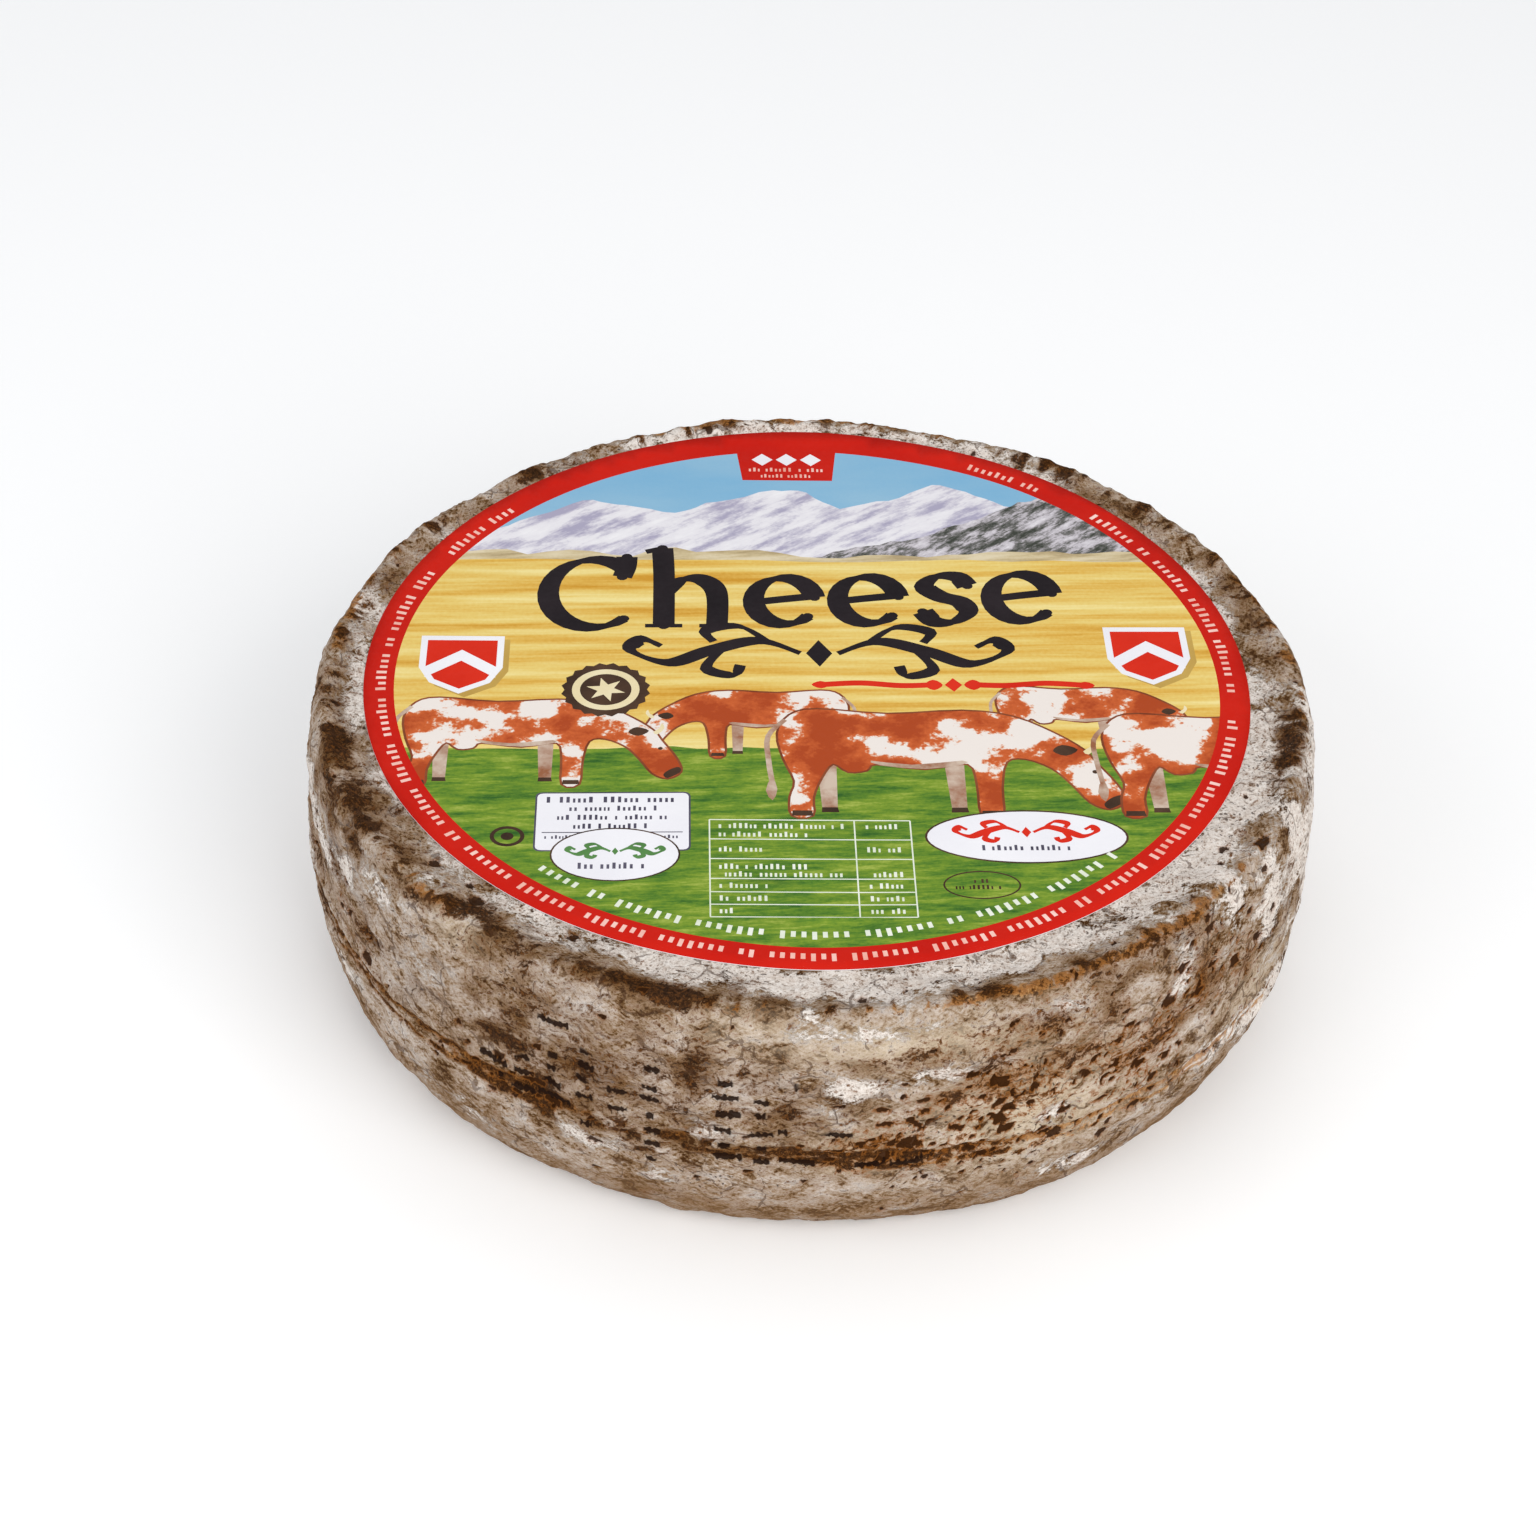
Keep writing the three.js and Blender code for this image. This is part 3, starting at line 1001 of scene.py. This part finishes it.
def openCurve(points, steps=8):
    ends = [Vector(points[0])] + [Vector(p) for p in points] + [Vector(points[-1])]
    curve = []
    for i in range(1, len(ends) - 2):
        curve += [splinePoint(*ends[i - 1:i + 3], j / steps) for j in range(steps)]
    return curve + [ends[-1]]


def arcCurve(x, y, wide, high, start, end, steps=22):
    points = []
    for i in range(steps + 1):
        a = math.radians(start + (end - start) * i / steps)
        points.append(Vector((x + wide * math.cos(a), y + high * math.sin(a))))
    return points


def penStroke(curve, thick, thin, nib):
    # Four-sided pieces along a curve, as wide as a broad pen held at the nib angle leaves them.
    sides = []
    for i, point in enumerate(curve):
        along = curve[min(len(curve) - 1, i + 1)] - curve[max(0, i - 1)]
        wide = thin + (thick - thin) * abs(math.sin(math.atan2(along.y, along.x) - nib))
        across = Vector((-along.y, along.x)).normalized() * wide / 2
        sides.append((point + across, point - across))
    return [[tuple(a), tuple(b), tuple(d), tuple(c)] for (a, b), (c, d) in zip(sides, sides[1:])]


def paint(ink, *outlines):
    for outline in outlines:
        picture.append((outline, ink))


def paintWords(ink, x, y, wide, high, seed):
    # A line of print shown as blocks in word-like groups, with no letters.
    at = -wide / 2
    k = 0
    while at < wide / 2 - high * 0.5:
        k += 1
        chance = noise.noise(Vector((seed * 3.7, k * 1.37, 0.5)))
        block = high * (0.62 + 0.25 * chance)
        if k % 6 != (seed + k // 6) % 5 + 1:
            tall = high * (1.0 if chance > 0.15 else 0.72)
            paint(ink, boxLine(x + at + block * 0.4, y + (tall - high) / 2, block * 0.5, tall))
        at += block * 1.02


def paintRing(ink, radius, start, end, high, seed):
    # The same along a circle, from one angle to another in degrees.
    step = math.degrees(high * 0.92 / radius)
    way = 1 if end > start else -1
    for k in range(int(abs(end - start) / step)):
        chance = noise.noise(Vector((seed * 2.3, k * 1.71, 0.2)))
        if k % 7 == (seed + k // 7) % 5 + 1:
            continue
        a = math.radians(start + way * step * (k + 0.5))
        tall = high * (1.0 if chance > 0.1 else 0.74)
        out = radius + way * (tall - high) / 2
        facing = a + way * math.pi / 2
        paint(ink, boxLine(out * math.cos(a), out * math.sin(a), high * 0.42, tall, facing))


# The landscape behind the cows. Whatever is wider than the ring is trimmed later.
peaks = [
    (-0.93, 0.50), (-0.80, 0.56), (-0.70, 0.60), (-0.60, 0.66), (-0.50, 0.71), (-0.42, 0.68), (-0.30, 0.66),
    (-0.20, 0.70), (-0.06, 0.76), (0.02, 0.74), (0.10, 0.68), (0.22, 0.72), (0.33, 0.79), (0.41, 0.75),
    (0.50, 0.70), (0.62, 0.66), (0.80, 0.60), (0.93, 0.50),
]
slope = [
    (-0.16, 0.44), (0.02, 0.47), (0.16, 0.52), (0.30, 0.56), (0.42, 0.63), (0.52, 0.69), (0.60, 0.73),
    (0.68, 0.70), (0.80, 0.62), (0.95, 0.55), (0.95, 0.40), (-0.2, 0.40),
]
landscapeFoot = 0.40
bands = [
    # ink, height of the upper edge, its waves' height, closeness and seed, height of the lower edge
    ("haze", 0.487, 0.03, 0.55, 6.5, landscapeFoot),
    ("board", 0.455, 0.012, 0.35, 8.5, -0.34),
    ("meadow", -0.27, 0.012, 0.5, 2.5, -1.0),
]


def raggedLine(points, parts, jag, closeness, seed):
    # The line with small jags, apart from where it runs along the landscape's foot.
    line = []
    for a, b in zip(points, points[1:]):
        for j in range(parts):
            t = j / parts
            x, y = a[0] + (b[0] - a[0]) * t, a[1] + (b[1] - a[1]) * t
            if y > landscapeFoot + 0.01:
                y += jag * noise.noise(Vector((x * closeness, seed, 0)))
            line.append((x, y))
    return line


def drawScenery():
    paint("ringRed", ovalLine(0, 0, 1.0, 1.0, 220))
    paint("sky", ovalLine(0, 0, 0.932, 0.932, 200))
    skyline = raggedLine(peaks, 4, 0.016, 22, 1.5)
    paint("snow", skyline + [(0.93, landscapeFoot), (-0.93, landscapeFoot)])
    paint("hillside", raggedLine(slope, 5, 0.014, 60, 4.5))
    for ink, top, wave, closeness, seed, foot in bands:
        edge = [(x / 20, top + wave * noise.noise(Vector((x * closeness, seed, 0)))) for x in range(-20, 21)]
        paint(ink, edge + [(1.0, foot), (-1.0, foot)])


# A grazing cow that faces left, on a grid with its length about 1.3.
cow = {
    "body": [
        (-0.42, 0.15), (-0.22, 0.19), (0.08, 0.17), (0.36, 0.20), (0.47, 0.16), (0.52, 0.04), (0.50, -0.12),
        (0.46, -0.26), (0.48, -0.36), (0.475, -0.47), (0.40, -0.47), (0.395, -0.36), (0.36, -0.24),
        (0.31, -0.15), (0.25, -0.20), (0.18, -0.19), (0.14, -0.15), (-0.05, -0.18), (-0.22, -0.15),
        (-0.25, -0.28), (-0.255, -0.47), (-0.33, -0.47), (-0.34, -0.30), (-0.37, -0.14), (-0.45, -0.12),
        (-0.55, -0.18), (-0.62, -0.28), (-0.68, -0.39), (-0.75, -0.43), (-0.81, -0.38), (-0.79, -0.28),
        (-0.72, -0.14), (-0.68, -0.06), (-0.58, 0.04),
    ],
    "farFeet": (-0.17, 0.33),
    "farLeg": [(-0.035, -0.10), (0.045, -0.10), (0.03, -0.42), (-0.03, -0.42)],
    "farHoof": [(-0.03, -0.42), (0.03, -0.42), (0.033, -0.45), (-0.035, -0.45)],
    "nearFeet": (-0.2925, 0.4375),
    "nearHoof": [(-0.037, -0.44), (0.037, -0.44), (0.04, -0.472), (-0.042, -0.472)],
    "markings": [
        # ink, steps between points, outline of the belly's shade, the ear, the horn and the muzzle
        ("hideShade", 2, [
            (-0.20, -0.13), (0.0, -0.155), (0.16, -0.13), (0.12, -0.16), (-0.05, -0.182), (-0.20, -0.155),
        ]),
        ("umber", 3, [(-0.66, -0.06), (-0.60, -0.03), (-0.56, -0.07), (-0.61, -0.10)]),
        ("cream", 2, [(-0.70, -0.09), (-0.735, -0.04), (-0.72, 0.0), (-0.71, -0.04), (-0.68, -0.07)]),
        ("umber", 3, [(-0.75, -0.43), (-0.81, -0.385), (-0.805, -0.345), (-0.765, -0.36), (-0.73, -0.40)]),
    ],
    "eye": (-0.715, -0.20, 0.012, 0.012, 8),
    "tail": [(0.49, 0.13), (0.56, 0.02), (0.56, -0.14), (0.55, -0.26)],
    "tuft": [(0.55, -0.24), (0.575, -0.32), (0.55, -0.38), (0.53, -0.31)],
}


def drawCow(x, y, size, way):
    def placed(points, foot=0.0):
        return placedAt([(foot + a, b) for a, b in points], x, y, size, way)

    for foot in cow["farFeet"]:
        paint("hideShade", placed(cow["farLeg"], foot))
        paint("umber", placed(cow["farHoof"], foot))
    edge = placed(softLine(cow["body"], 3))
    paint("hideLine", *penStroke([Vector(p) for p in edge + edge[:2]], 0.011, 0.011, 0))
    paint("hide", edge)
    for ink, steps, outline in cow["markings"]:
        paint(ink, placed(softLine(outline, steps)))
    for foot in cow["nearFeet"]:
        paint("umber", placed(cow["nearHoof"], foot))
    paint("umber", placed(ovalLine(*cow["eye"])))
    for piece in penStroke(openCurve(cow["tail"], 4), 0.022, 0.022, 0):
        paint("hideShade", placed(piece))
    paint("hideShade", placed(softLine(cow["tuft"], 2)))


# Pen letters of the word on the label, on a grid with the small letters 1 high: how far each moves the
# pen on, and its strokes.
penLetters = {
    "C": (1.22, [
        arcCurve(0.66, 0.70, 0.52, 0.66, 48, 312),
        openCurve([(1.03, 1.42), (1.02, 1.2), (0.98, 1.02)], 4),
    ]),
    "h": (1.14, [
        openCurve([(0.22, 1.56), (0.24, 1.0), (0.24, 0.03)], 6),
        openCurve([(0.25, 0.66), (0.45, 0.93), (0.68, 0.93), (0.84, 0.68), (0.84, 0.03)], 8),
    ]),
    "e": (0.96, [
        arcCurve(0.47, 0.49, 0.35, 0.45, 8, 318),
        openCurve([(0.14, 0.46), (0.45, 0.52), (0.80, 0.58)], 4),
    ]),
    "s": (0.80, [
        openCurve([
            (0.66, 0.74), (0.55, 0.92), (0.32, 0.93), (0.17, 0.74), (0.33, 0.54), (0.56, 0.42), (0.63, 0.22),
            (0.45, 0.04), (0.24, 0.05), (0.12, 0.24),
        ], 5),
    ]),
}
letterSerifs = {
    # place, width, height and turn of each short bar
    "h": [(0.24, 0.035, 0.42, 0.07, 0.0), (0.85, 0.035, 0.42, 0.07, 0.0), (0.15, 1.53, 0.26, 0.09, 0.35)],
}
flourishCurves = [
    # steps between points, widest and thinnest as shares of the pen's width, angle of the nib, points
    (7, 1.0, 0.35, 35, [
        (0.10, 0.0), (0.32, 0.11), (0.58, 0.02), (0.80, -0.09), (1.0, 0.02), (0.94, 0.12), (0.84, 0.06),
    ]),
    (6, 0.8, 0.3, 35, [(0.26, 0.09), (0.42, 0.24), (0.60, 0.20), (0.56, 0.10)]),
    (6, 0.8, 0.3, -35, [(0.52, 0.03), (0.60, -0.14), (0.46, -0.20), (0.42, -0.11)]),
]
shield = [(-0.5, 0.52), (0.5, 0.52), (0.5, -0.12), (0.36, -0.42), (0.0, -0.64), (-0.36, -0.42), (-0.5, -0.12)]
chevron = [(-0.42, -0.10), (0.0, 0.24), (0.42, -0.10), (0.42, -0.32), (0.0, 0.02), (-0.42, -0.32)]


def drawWord(word, x, y, size, rise):
    thick, thin, nib, tipSize = 0.26 * size, 0.10 * size, math.radians(22), 0.065 * size
    for letter in word:
        advance, strokes = penLetters[letter]
        base = y + rise * x
        for stroke in strokes:
            curve = [Vector((x + size * p.x, base + size * p.y)) for p in stroke]
            paint("black", *penStroke(curve, thick, thin, nib))
            for tip in (curve[0], curve[-1]):
                paint("black", ovalLine(tip.x, tip.y, tipSize, tipSize, 10))
        for across, up, wide, high, turn in letterSerifs.get(letter, []):
            paint("black", boxLine(x + size * across, base + size * up, wide * size, high * size, turn))
        x += advance * size


def drawFlourish(x, y, size, ink, thick):
    for way in (-1, 1):
        for steps, widest, thinnest, nib, points in flourishCurves:
            curve = openCurve(placedAt(points, x, y, size, way), steps)
            paint(ink, *penStroke(curve, thick * widest, thick * thinnest, math.radians(nib * way)))
    paint(ink, lozenge(x, y, 0.07 * size, 0.12 * size))


def drawRule(x, y, wide, ink):
    # A tapering line with a lozenge and two leaves in its middle.
    for way in (-1, 1):
        half = placedAt([(0.5, 0.0), (0.35, 0.012), (0.2, -0.004), (0.09, 0.0)], x, y, wide, way)
        paint(ink, *penStroke(openCurve(half, 6), 0.020, 0.012, math.radians(80)))
        for at, tall in ((0.075, 0.020), (0.5, 0.014)):
            leaf = [(-0.035, 0), (0, tall / wide), (0.035, 0), (0, -tall / wide)]
            paint(ink, softLine(placedAt(leaf, x + wide * way * at, y, wide), 3))
    paint(ink, lozenge(x, y, 0.02, 0.026))


def drawBadge(x, y, size):
    # A plain shield with one chevron.
    paint("shade", placedAt(shield, x + 0.07 * size, y - 0.07 * size, size))
    paint("white", placedAt(shield, x, y, size))
    paint("redInk", placedAt(shield, x, y - 0.005 * size, 0.84 * size))
    paint("white", placedAt(chevron, x, y, size))


def drawTag():
    # It hangs from the ring.
    paint("ringRed", [(-0.15, 0.95), (0.10, 0.95), (0.085, 0.80), (-0.135, 0.80)])
    for k in range(3):
        paint("white", lozenge(-0.085 + 0.06 * k, 0.893, 0.026, 0.027))
    paintWords("paleInk", -0.025, 0.848, 0.19, 0.017, 3)
    paintWords("paleInk", -0.025, 0.820, 0.15, 0.015, 5)


def drawRosette(x, y):
    paint("umber", starLine(x, y, 0.093, 0.101, 20))
    paintOvals(x, y, 40, ("cream", 0.076, 0.076), ("umber", 0.058, 0.058))
    paint("cream", starLine(x, y, 0.019, 0.045, 6, 0.5))


def drawPanel(x, y):
    # A notice panel with an oval mark over its foot.
    paint("greyInk", roundedBox(x, y, 0.334, 0.199, 0.014))
    paint("white", roundedBox(x, y, 0.326, 0.191, 0.012))
    for k, (wide, high) in enumerate(((0.29, 0.020), (0.19, 0.017), (0.24, 0.017), (0.17, 0.017))):
        paintWords("greyInk", x, y + 0.074 - 0.030 * k, wide, high, 11 + k)
    paint("greyInk", boxLine(x, y - 0.037, 0.30, 0.003))
    paintWords("greyInk", x, y - 0.052, 0.29, 0.012, 21)
    paintOvals(x + 0.007, y - 0.11, 40, ("umber", 0.138, 0.088), ("white", 0.134, 0.084))
    drawFlourish(x + 0.007, y - 0.10, 0.10, "greenInk", 0.016)
    paintWords("greyInk", x + 0.007, y - 0.147, 0.16, 0.020, 23)


def drawTable():
    left, right, top, bottom, split, line = -0.225, 0.205, -0.52, -0.838, 0.085, 0.0032
    for y in (top, -0.585, -0.65, -0.715, -0.758, -0.798, bottom):
        paint("tableLine", boxLine((left + right) / 2, y, right - left, line))
    for x in (left, split, right):
        paint("tableLine", boxLine(x, (top + bottom) / 2, line, top - bottom))
    rows = [
        # height, width of its words, whether the right column holds anything
        (-0.54, 0.27, True), (-0.568, 0.20, False), (-0.618, 0.10, True), (-0.675, 0.19, False),
        (-0.70, 0.27, True), (-0.737, 0.11, True), (-0.778, 0.12, True), (-0.818, 0.05, True),
    ]
    for k, (y, wide, filled) in enumerate(rows):
        paintWords("tableLine", left + 0.018 + wide / 2, y, wide, 0.017, 31 + k)
        if filled:
            paintWords("tableLine", (split + right) / 2, y, 0.075, 0.017, 51 + k)


def drawRing(x, y):
    paintOvals(x, y, 24, ("umber", 0.037, 0.034), ("meadow", 0.028, 0.025))
    paintOvals(x, y, 12, ("umber", 0.014, 0.013))


def drawOvalBadge(x, y):
    paintOvals(x, y, 48, ("umber", 0.218, 0.090), ("white", 0.213, 0.085))
    drawFlourish(x, y + 0.015, 0.15, "redInk", 0.020)
    paintWords("greyInk", x, y - 0.037, 0.20, 0.018, 61)


def drawOvalStamp(x, y):
    paintOvals(x, y, 36, ("umber", 0.082, 0.046), ("meadow", 0.078, 0.042))
    paintWords("umber", x, y + 0.013, 0.035, 0.013, 71)
    paintWords("umber", x, y - 0.007, 0.115, 0.014, 73)


def drawPicture():
    drawScenery()
    drawCow(-0.10, -0.13, 0.36, 1)
    drawCow(0.60, -0.11, 0.34, -1)
    drawCow(-0.66, -0.18, 0.46, -1)
    drawCow(0.22, -0.24, 0.56, -1)
    drawCow(0.93, -0.25, 0.54, -1)
    drawBadge(-0.785, 0.05, 0.19)
    drawBadge(0.785, 0.09, 0.19)
    drawWord("Cheese", -0.625, 0.195, 0.205, 0.03)
    drawFlourish(0.03, 0.085, 0.43, "black", 0.042)
    drawRule(0.33, -0.035, 0.60, "redInk")
    drawTag()
    drawRosette(-0.455, -0.055)
    drawPanel(-0.432, -0.525)
    drawRing(-0.655, -0.575)
    drawTable()
    drawOvalBadge(0.452, -0.575)
    drawOvalStamp(0.345, -0.735)
    paintRing("paleInk", 0.962, -205, -8, 0.023, 3)
    paintRing("paleInk", 0.962, -4, 44, 0.023, 6)
    paintRing("paleInk", 0.962, 52, 66, 0.020, 2)
    paintRing("paleInk", 0.962, 136, 152, 0.022, 8)
    paintRing("tableLine", 0.895, -131, -44, 0.024, 9)


def plainInk(dark, light, grain=0.10):
    return grain, grain, 0, 0.5, ((0.3, dark), (0.7, light))


inks = {
    # ink: (grain across, grain up, lean of the grain, roughness of it, stops of the ramp)
    "ringRed": plainInk((190, 18, 4), (206, 30, 12), 0.30),
    "paleInk": plainInk((232, 160, 142), (248, 214, 204)),
    "sky": (0.60, 0.25, 0, 0.5, ((0.3, (120, 176, 212)), (0.7, (150, 190, 214)))),
    "snow": (0.16, 0.045, 0.6, 0.62, (
        (0.38, (170, 165, 188)), (0.46, (204, 200, 212)), (0.53, (228, 225, 230)), (0.7, (240, 238, 240)),
    )),
    "hillside": (0.10, 0.032, 0.7, 0.72, (
        (0.40, (62, 66, 58)), (0.48, (118, 116, 114)), (0.55, (192, 186, 192)), (0.68, (226, 222, 226)),
    )),
    "haze": (0.20, 0.03, 0.1, 0.6, (
        (0.38, (176, 156, 118)), (0.50, (204, 186, 146)), (0.64, (222, 208, 176)),
    )),
    "board": (0.90, 0.045, 0.02, 0.6, (
        (0.34, (206, 150, 48)), (0.43, (222, 178, 82)), (0.52, (230, 200, 112)), (0.66, (240, 222, 150)),
    )),
    "black": plainInk((24, 18, 22), (40, 32, 36), 0.20),
    "redInk": plainInk((206, 34, 12), (222, 48, 26), 0.20),
    "meadow": (0.20, 0.035, 0.05, 0.75, (
        (0.34, (44, 92, 34)), (0.45, (86, 126, 40)), (0.55, (122, 150, 46)), (0.68, (170, 184, 84)),
    )),
    "hide": (0.17, 0.15, 0.4, 0.55, (
        (0.42, (172, 70, 30)), (0.51, (206, 100, 50)), (0.525, (224, 172, 142)), (0.54, (236, 227, 220)),
    )),
    "hideLine": plainInk((112, 52, 28), (150, 84, 52)),
    "hideShade": (0.10, 0.10, 0, 0.6, ((0.35, (150, 96, 66)), (0.6, (206, 186, 168)))),
    "umber": plainInk((52, 36, 26), (86, 62, 46)),
    "cream": plainInk((226, 208, 160), (238, 226, 190)),
    "shade": plainInk((186, 150, 74), (198, 164, 86)),
    "white": plainInk((232, 230, 236), (244, 243, 246), 0.30),
    "greyInk": plainInk((62, 58, 76), (96, 92, 108)),
    "greenInk": plainInk((70, 116, 60), (92, 140, 78)),
    "tableLine": plainInk((214, 222, 200), (240, 242, 232)),
}


def makeInkMaterial(name):
    across, up, lean, rough, stops = inks[name]
    material, tree = newMaterial("ink_" + name)
    place = addNode(tree, "UVMap", {}, uv_map="printMap").outputs["UV"]
    turned = addNode(tree, "VectorRotate", {"Vector": place, "Angle": -lean}, rotation_type="Z_AXIS")
    stretched = vectorOf(tree, "MULTIPLY", turned.outputs[0], (1 / across, 1 / up, 1))
    grain = noiseOf(tree, stretched, 1.0, 7.0, rough)
    speckle = noiseOf(tree, place, 1 / 110, 2.0)
    tone = sumOf(tree, (grain, 1.0), (speckle, 0.10), (1.0, -0.05))
    fibres = noiseOf(tree, place, 1 / 60, 4.0)
    finishMaterial(tree, rampOf(tree, tone, stops), fibres, printing, fibres, 0.25)
    return material


def isInside(outline, x, y):
    # Counts how often a line to the right of the point crosses the outline.
    inside = False
    ax, ay = outline[-1]
    for bx, by in outline:
        if (ay > y) != (by > y) and x < ax + (bx - ax) * (y - ay) / (by - ay):
            inside = not inside
        ax, ay = bx, by
    return inside


def sortPicture():
    # For each cell of a coarse grid, the numbers of the shapes that reach into it.
    cells = {}
    for k, (outline, ink) in enumerate(picture):
        across = [p[0] * printing["cellsPerUnit"] for p in outline]
        up = [p[1] * printing["cellsPerUnit"] for p in outline]
        for i in range(math.floor(min(across)), math.floor(max(across)) + 1):
            for j in range(math.floor(min(up)), math.floor(max(up)) + 1):
                cells.setdefault((i, j), []).append(k)
    return cells


def inkAt(cells, spot):
    # The ink of the shape painted last that holds the spot.
    onRing = spot.length > printing["ringInner"]
    cell = tuple(math.floor(value * printing["cellsPerUnit"]) for value in spot)
    for k in reversed(cells.get(cell, [])):
        outline, ink = picture[k]
        if onRing and ink not in printing["ringInks"]:
            continue
        if isInside(outline, spot.x, spot.y):
            return ink
    return None


def gridPoints():
    spacing = printing["gridSpacing"]
    rowHeight = spacing * 0.866
    reach = int(1 / rowHeight)
    points = []
    for j in range(-reach, reach + 1):
        for i in range(-reach, reach + 1):
            x, y = (i + 0.5 * (j % 2)) * spacing, j * rowHeight
            if math.hypot(x, y) < printing["gridReach"]:
                points.append(Vector((x, y)))
    return points


def labelVerts(bm, flat):
    # The picture's points turned, scaled and laid just over the upper face.
    turn = Matrix.Rotation(label["turn"], 2)
    verts = []
    for point in flat:
        spot = point.copy()
        spot.rotate(turn)
        x = label["middle"].x + spot.x * label["radius"]
        y = label["middle"].y + spot.y * label["radius"]
        z = upperFace(math.hypot(x, y)) + faceSwell(x, y) + label["clearance"] + label["thickness"]
        verts.append(bm.verts.new((x, y, z)))
    return verts


def makeLabelShape():
    drawPicture()
    points, edges = gridPoints(), []
    for outline, ink in picture:
        first, count = len(points), len(outline)
        edges += [(first + i, first + (i + 1) % count) for i in range(count)]
        points += [Vector(p) for p in outline]
    cut = geometry.delaunay_2d_cdt(points, edges, [], 0, printing["mergeWithin"], False)
    flat, faces = cut[0], cut[2]
    cells = sortPicture()
    print("label cut into", len(faces), "faces from", len(picture), "printed shapes")
    names = list(inks)
    bm = bmesh.new()
    printMap = bm.loops.layers.uv.new("printMap")
    bakeMap = bm.loops.layers.uv.new("OFBake")
    verts = labelVerts(bm, flat)
    bakeRadius = printing["bakeRadius"]
    for corners in faces:
        top = inkAt(cells, sum((flat[c] for c in corners), Vector((0, 0))) / len(corners))
        if top is None:
            continue
        face = bm.faces.new([verts[c] for c in corners])
        face.material_index = names.index(top)
        for loop, c in zip(face.loops, corners):
            loop[printMap].uv = flat[c]
            loop[bakeMap].uv = (0.5 + bakeRadius * flat[c].x, 0.5 + bakeRadius * flat[c].y)
    bmesh.ops.delete(bm, geom=[v for v in bm.verts if not v.link_faces], context="VERTS")
    bmesh.ops.recalc_face_normals(bm, faces=bm.faces)
    if sum(f.normal.z for f in bm.faces) < 0:
        bmesh.ops.reverse_faces(bm, faces=bm.faces)
    bmesh.ops.solidify(bm, geom=bm.faces[:], thickness=label["thickness"])
    for face in bm.faces:
        face.normal_update()
    # The underside and the cut edge are bare paper.
    middle, scale = printing["bareMiddle"], printing["bareScale"]
    for face in bm.faces:
        if face.normal.z < 0.5:
            face.material_index = names.index("white")
            for loop in face.loops:
                u, v = loop[bakeMap].uv
                loop[bakeMap].uv = (middle + scale * (u - 0.5), middle + scale * (v - 0.5))
    return bm


bm = makeLabelShape()
paper = finishPiece(bm, "paper_sheet")
for name in inks:
    paper.data.materials.append(makeInkMaterial(name))
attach(paper, "root")
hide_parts("paper_label")
print("label printed:", len(paper.data.polygons), "faces")
